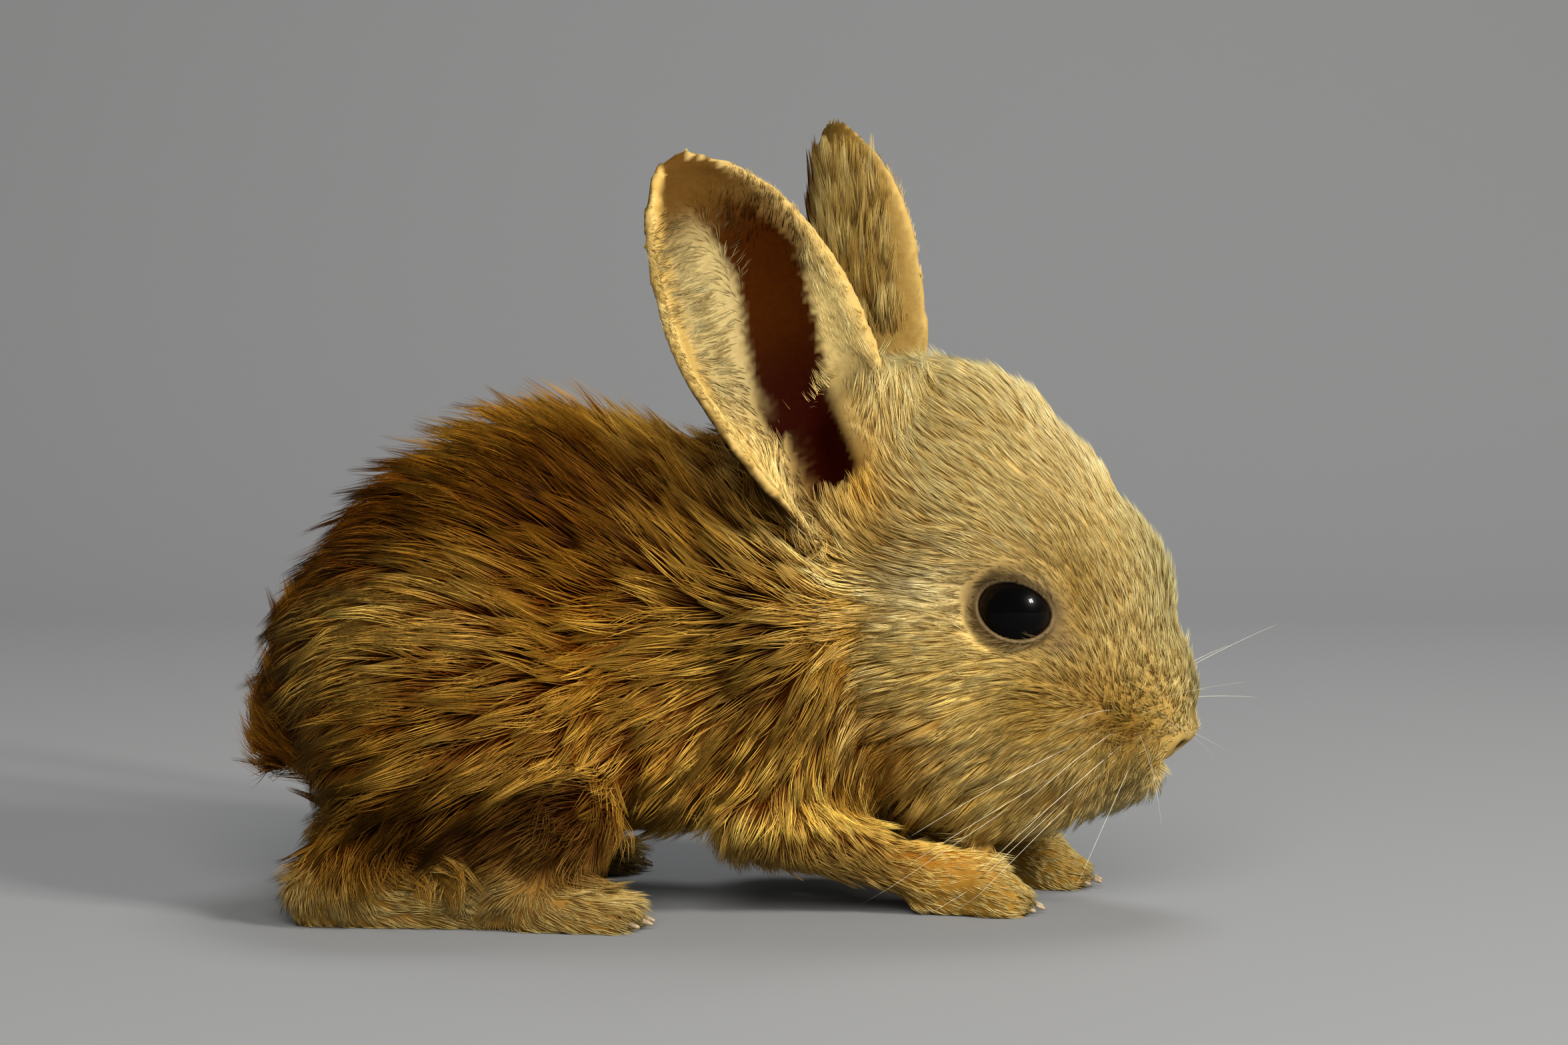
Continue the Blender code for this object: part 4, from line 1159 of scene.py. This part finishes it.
def set_coat(name, chosen, shares, stations, rng, follow=True, slot="coat", dark_reach=(0.2, 0.95),
             tints=(0.08, 0.12), tip_gain=1.0, changes=None):
    """Grow one piece of the coat on its roots. The changes multiply values of the style."""
    roots = at_roots(points, chosen, shares)
    ups = unit(at_roots(normals, chosen, shares))
    own = {key: at_roots(values, chosen, shares) for key, values in style.items()}
    for key, factor in (changes or {}).items():
        own[key] *= factor
    head_share = at_roots(np.clip(on_head, 0, 1), chosen, shares)
    of_ear = at_roots(ear_share, chosen, shares)[:, None]
    ways = coat_way(roots, head_share) * (1 - of_ear) + at_roots(ear_way, chosen, shares) * of_ear
    ways = unit(ways - ups * np.sum(ways * ups, 1)[:, None])
    count = len(roots)

    in_lock = np.maximum(own["density"] * own["spacing"] ** 2, LEAST_LOCK)
    leads = np.flatnonzero(rng.random(count) < 1 / in_lock)
    tree = search_tree(roots[leads])
    lead_of = leads[[tree.find(root)[1] for root in roots]]

    def lively(lock_spread, own_spread):
        """A random amount that the tufts of a lock mostly share."""
        return rng.normal(0, lock_spread, count)[lead_of] + rng.normal(0, own_spread, count)

    turn = np.radians(lively(*SPREADS["turn"]) * own["jitter"])[:, None]
    ways = ways * np.cos(turn) + np.cross(ups, ways) * np.sin(turn)
    lengths = own["length"] * np.exp(np.clip(lively(*SPREADS["length"]), *LENGTH_CHANGES))
    lifts = [own[key] * (1 + lively(*SPREADS["lift"])) for key in ("lift_root", "lift_tip")]
    lifts = [np.radians(np.maximum(lift, LEAST_LIFT)) for lift in lifts]
    path = grow(roots - ups * ROOT_DEPTH * MM, ups, ways, lengths, lifts, stations, head_share, follow)
    pull = np.clip(own["gather"] + lively(*SPREADS["gather"]), 0, MOST_GATHER)
    bend = stations ** LOCK_BEND
    path = path + (path[lead_of] - path) * (pull[:, None] * bend)[:, :, None]
    path[:, :, 2] = np.maximum(path[:, :, 2], LOWEST * MM)

    thickness = own["thickness"] * np.exp(lively(*SPREADS["thickness"]))
    tint = np.exp(np.clip(lively(*tints) * own["streak"], *TINT_CHANGES))
    tip, root = (at_roots(marking_and_painted_light, chosen, shares) for marking_and_painted_light in (tips, bases))
    place = np.einsum("nkd,nk->nd", uv_of_corner[loops_of_triangle[chosen]], shares)

    def colours_at(share):
        return colour_along(tip * tip_gain, root, share, tint, dark_reach)

    add_tufts(name, coat_look, path, ups, thickness, stations, colours_at, place)


MOST_TRIANGLES = 195000
LONG_STOPS = np.array([0, 0.3, 0.65, 1.0])
SHORT_STOPS = np.array([0, 0.5, 1.0])
FACES_OF = {4: 16, 3: 10}
GUARD_SHARE = 0.46


def set_in_pieces(name, density, stations, **how):
    """Sow a whole region and set it in as many pieces as the number of triangles asks for, front to back."""
    rng = np.random.default_rng(SEEDS[name])
    chosen, shares = sow(density, rng)
    order = np.argsort(-at_roots(points, chosen, shares)[:, 0], kind="stable")
    pieces = math.ceil(len(order) * FACES_OF[len(stations)] / MOST_TRIANGLES)
    for number, part in enumerate(np.array_split(order, pieces), start=1):
        set_coat(f"{name}_{number}", chosen[part], shares[part], stations, rng, **how)


SEEDS = {"coat_face": 11, "coat_body": 12, "coat_ears": 13, "coat_guard": 14}
SHORT_FAMILIES = {"head": 1, "eye": 1, "forepaw": 1, "hind_foot": 1, "forearm": 1}
REAR_CHEEK_GUARD = 0.7
EAR_COAT = {"follow": False, "slot": "ear", "tints": (0.3, 0.12)}
# The undercoat's tips are dimmed and the guard hairs' tips brightened, partly as their own colours and partly
# as painted shade deep in the coat and painted light on its top.
UNDERCOAT = {"dark_reach": (0.35, 1.05), "tints": (0.16, 0.1), "tip_gain": 0.82}
GUARD_COAT = {
    "dark_reach": (0.35, 0.95), "tints": (0.18, 0.14), "tip_gain": 1.4,
    "changes": {"length": 1.1, "thickness": 0.72, "gather": 0.92, "jitter": 1.1, "density": GUARD_SHARE},
}


def mostly(share):
    """1 where a share is over half, else 0."""
    return np.where(share > 0.5, 1, 0)


density = style["density"]
short_share = np.clip(by_family(SHORT_FAMILIES), 0, 1)
long_share = 1 - np.clip(by_family({**SHORT_FAMILIES, "ear": 1}), 0, 1)
set_in_pieces("coat_face", density * mostly(short_share), SHORT_STOPS, follow=False)
on_long = density * mostly(long_share)
set_in_pieces("coat_body", on_long, SHORT_STOPS, **UNDERCOAT)
rear_cheek = smooth_step(0.2, 0.6, np.clip(areas["nape"] + areas["rear_cheek"], 0, 1))
rear_cheek = np.where(long_share > 0.5, 0, rear_cheek) * (1 - ear_share)
on_guard = on_long + density * REAR_CHEEK_GUARD * rear_cheek
set_in_pieces("coat_guard", on_guard * GUARD_SHARE, LONG_STOPS, **GUARD_COAT)
set_in_pieces("coat_ears", density * mostly(ear_share), SHORT_STOPS, **EAR_COAT)


# Whiskers are long, pale, stiff hairs that taper to nothing. They stand in rows on a pad at each side of the
# lip, most of them swept back and down, and two more stand over each eye. Lashes fringe the upper lid.
WHISKER_STOPS = np.linspace(0, 1, 7)
WHISKER_THICKNESS, WHISKER_SPAN = 0.075, 34
WHISKER_SAG = np.array([-0.3, 0, -1])
WHISKER_LOWEST = 1.2
WHISKER_STRAY, WHISKER_LENGTHS, WHISKER_THIN = 0.05, (0.9, 1.05), (0.6, 1.1)
WHISKER_COLOUR = linear((238, 230, 206))
# In the head's own millimetres: the place on the pad, the way it starts, its length and how much it droops.
WHISKERS = [
    ((19, 7, -14), (0.75, 0.5, 0.42), 21, 0.15), ((17, 8, -15), (0.45, 0.85, 0.25), 24, 0.2),
    ((14, 9, -15), (-0.1, 0.95, 0.2), 26, 0.25), ((20, 7, -17), (0.7, 0.65, 0.0), 20, 0.2),
    ((17, 8, -18), (0.2, 0.95, -0.05), 25, 0.25), ((14, 9, -18), (-0.4, 0.85, -0.1), 30, 0.25),
    ((11, 10, -18), (-0.75, 0.55, -0.3), 36, 0.2), ((18, 7, -20), (0.3, 0.8, -0.4), 20, 0.2),
    ((15, 9, -20), (-0.5, 0.6, -0.45), 34, 0.15), ((12, 9, -20), (-0.8, 0.35, -0.42), 40, 0.1),
    ((10, 10, -21), (-0.82, 0.28, -0.5), 42, 0.05), ((14, 9, -22), (-0.68, 0.35, -0.62), 36, 0.1),
    ((11, 9, -23), (-0.74, 0.25, -0.66), 38, 0.05), ((16, 8, -23), (-0.35, 0.55, -0.75), 24, 0.1),
    ((4, 14, 8), (0.1, 0.75, 0.65), 12, 0.3), ((0, 15, 9), (-0.25, 0.75, 0.6), 13, 0.3),
]
LASHES, LASH_ARC = 18, (18, 168)
LASH_LENGTH, LASH_THICKNESS = 2.6, 0.085
LASH_ROW, LASH_LIFT = 1.06, 0.4
LASH_OUT, LASH_UP, LASH_UP_MIDDLE, LASH_BACK = 0.75, 0.45, 0.3, 0.35
LASH_STRAY, LASH_LENGTHS, LASH_CURL = 0.12, (0.7, 1.1), 0.2
LASH_COLOUR = linear((64, 46, 26))


def hair_material(name, roughness, specular):
    """A stiff hair: its own colour, with fine lighter and darker streaks along it."""
    m = Nodes(name)
    streaks = m.noise(m.place(), scale=1800.0, detail=2.0)
    colour = m.over(m.attribute("coat_colour", "Color"), streaks, 0.35, (0.6, 0.5, 0.36, 1), "MULTIPLY")
    return m.finish(Base_Color=colour, Roughness=roughness, Specular_IOR_Level=specular)


def set_hairs(name, look, paths, ups, thickness, stations, root_colour, tip_colour):
    """One piece of stiff single hairs, each on the place of the hide next to its root."""
    under = [hide_tree.find_nearest(Vector(root))[2] for root in paths[:, 0]]
    place = uv_of_corner[loops_of_triangle[under, 0]]

    def colours_at(share):
        return np.tile(root_colour + (tip_colour - root_colour) * share[:, None], (len(paths), 1))

    add_tufts(name, look, paths, ups, thickness, stations, colours_at, place)


whisker_rng = np.random.default_rng(21)
paths = []
for side in SIDES.values():
    for place, way, length, droop in WHISKERS:
        way = unit(np.array(way) * (1, side, 1) + whisker_rng.normal(0, WHISKER_STRAY, 3))
        spot = np.array(hide_tree.find_nearest(Vector(from_head(np.array(place) * (1, side, 1))))[0])
        step = length * whisker_rng.uniform(*WHISKER_LENGTHS) / (len(WHISKER_STOPS) - 1)
        path = [spot]
        for stop in WHISKER_STOPS[1:]:
            bent = unit(way + WHISKER_SAG * droop * stop)
            path.append(path[-1] + bent @ HEAD_AXES * step * MM)
        paths.append(path)
paths = np.array(paths)
paths[:, :, 2] = np.maximum(paths[:, :, 2], WHISKER_LOWEST * MM)
spans = np.tile([whisker[2] for whisker in WHISKERS], 2)
ups = np.tile([0.0, 0.0, 1.0], (len(paths), 1))
thickness = WHISKER_THICKNESS * np.clip(spans / WHISKER_SPAN, *WHISKER_THIN)
set_hairs("whiskers", hair_material("whiskers", 0.35, 0.4), paths, ups, thickness,
          WHISKER_STOPS, WHISKER_COLOUR * 0.8, WHISKER_COLOUR)

paths, ups = [], []
for side in SIDES:
    front, above, out = eye_axes(side)
    for turn in np.radians(np.linspace(*LASH_ARC, LASHES)):
        reach = LID_OPENING["front"] if math.cos(turn) > 0 else LID_OPENING["rear"]
        aside = LID_CENTRE[0] + math.cos(turn) * reach * LASH_ROW
        up = LID_CENTRE[1] + math.sin(turn) * LID_OPENING["height"] * LASH_ROW
        rise = math.sqrt(EYE_RADIUS ** 2 - aside ** 2 - up ** 2) + LASH_LIFT
        spot = np.array(eye_places[side]) + (front * aside + above * up + out * rise) * MM
        upwards = LASH_UP + LASH_UP_MIDDLE * math.sin(turn)
        way = unit(out * LASH_OUT + above * upwards - front * LASH_BACK)
        way = unit(way + whisker_rng.normal(0, LASH_STRAY, 3))
        length = LASH_LENGTH * whisker_rng.uniform(*LASH_LENGTHS) * MM
        tip = spot + (way * (1 - LASH_CURL) + above * LASH_CURL) * length
        paths.append([spot, spot + way * length / 2, tip])
        ups.append(above)
thickness = np.full(len(paths), LASH_THICKNESS)
set_hairs("lashes", hair_material("lashes", 0.5, 0.2), np.array(paths), np.array(ups), thickness,
          SHORT_STOPS, LASH_COLOUR, LASH_COLOUR * 1.5)


# The claws are small curved cones of pale horn, four to a foot, half hidden by the hair of the toes.
CLAW_FEET = ("fore_right", "fore_left", "hind_right", "hind_left")


def claw_material():
    """Horn: growth bands across, with a fine grain that darkens, bumps and roughens it in places."""
    m = Nodes("claw")
    place = m.place()
    waves = {"Vector": place, "Scale": 420.0, "Distortion": 3.0}
    bands = m.add("ShaderNodeTexWave", bands_direction="X", inputs=waves).outputs["Fac"]
    grain = m.noise(place, scale=1500.0, detail=4.0)
    colour = m.over((0.27, 0.2, 0.12, 1), bands, 0.4, (0.17, 0.12, 0.07, 1))
    colour = m.over(colour, grain, 0.35, (0.1, 0.07, 0.04, 1))
    m.bump(grain, strength=0.2, distance=0.0001)
    rough = m.maths("ADD", m.maths("MULTIPLY", grain, 0.25), 0.28)
    return m.finish(Base_Color=colour, Roughness=rough, Specular_IOR_Level=0.4)


claw_look = claw_material()
for foot in CLAW_FEET:
    names = [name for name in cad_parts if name.startswith(f"claw_{foot}_")]
    claws, _, _ = flesh_of(names)
    claw_mesh = bpy.data.meshes.new(f"claws_{foot}")
    claws.to_mesh(claw_mesh)
    claws.free()
    piece = link(f"claws_{foot}", claw_mesh)
    piece.modifiers.new("round", "SUBSURF").levels = 1
    apply_all(piece)
    claw_mesh.shade_smooth()
    claw_mesh.materials.clear()
    claw_mesh.materials.append(claw_look)
    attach(piece, "root")
    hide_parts(*names)


# The stage is a pale sheet that lies flat under the rabbit and curves up behind it. The light comes from a
# soft box on the side its head faces, with a weak one in front and one from behind for its outline.
SHEET_COLOUR = (0.15, 0.153, 0.156, 1)
ROOM_LIGHT, ROOM_STRENGTH = (0.78, 0.8, 0.84, 1), 0.25
# The sheet's sizes in metres: where its flat part ends behind and in front, its bend, height and half width.
SHEET_FLAT, SHEET_FRONT = 0.45, -4
SHEET_BEND, BEND_STEPS = 0.5, 24
SHEET_RISE = 2.2
SHEET_HALF_WIDTH = 3


def sheet_material():
    m = Nodes("sheet")
    grain = m.noise(m.place(), scale=60.0, detail=6.0)
    colour = m.over(SHEET_COLOUR, grain, 0.12, (0.14, 0.14, 0.14, 1))
    m.bump(grain, strength=0.05, distance=0.001)
    return m.finish(Base_Color=colour, Roughness=0.85)


bend = [(SHEET_FLAT + SHEET_BEND * math.sin(turn), SHEET_BEND * (1 - math.cos(turn)))
        for turn in np.linspace(0, math.pi / 2, BEND_STEPS)]
profile = [(SHEET_FRONT, 0), *bend, (SHEET_FLAT + SHEET_BEND, SHEET_RISE)]
corners = [(x, y, z) for y, z in profile for x in (-SHEET_HALF_WIDTH, SHEET_HALF_WIDTH)]
rows = range(0, len(corners) - 2, 2)
sheet_mesh = bpy.data.meshes.new("sheet")
sheet_mesh.from_pydata(corners, [], [(row, row + 1, row + 3, row + 2) for row in rows])
sheet_mesh.shade_smooth()
sheet_mesh.materials.append(sheet_material())
sheet = link("sheet", sheet_mesh)


def add_soft_box(name, place, size, power, colour=(1, 1, 1), aim=(0, 0, 0.05)):
    light = bpy.data.lights.new(name, "AREA")
    light.shape = "RECTANGLE"
    light.size, light.size_y = size
    light.energy = power
    light.color = colour
    made = link(name, light)
    made.location = place
    made.rotation_euler = (Vector(place) - Vector(aim)).to_track_quat("Z", "Y").to_euler()
    made.visible_glossy = name.startswith("key")


WARM = (1.0, 0.975, 0.92)
for pane, place in (("left", (0.687, -0.64, 0.52)), ("right", (0.757, -0.556, 0.52))):
    add_soft_box(f"key_{pane}", place, (0.08, 0.17), 8.5, WARM)
add_soft_box("fill", (0.0, -1.15, 0.75), (0.9, 0.7), 30.0, WARM)
add_soft_box("rim", (0.15, 0.35, 0.9), (0.4, 0.3), 6.5)

world = bpy.data.worlds.new("room")
bpy.context.scene.world = world
world.use_nodes = True
room = world.node_tree.nodes["Background"].inputs
room["Color"].default_value = ROOM_LIGHT
room["Strength"].default_value = ROOM_STRENGTH
bpy.context.scene.view_settings.view_transform = "Standard"
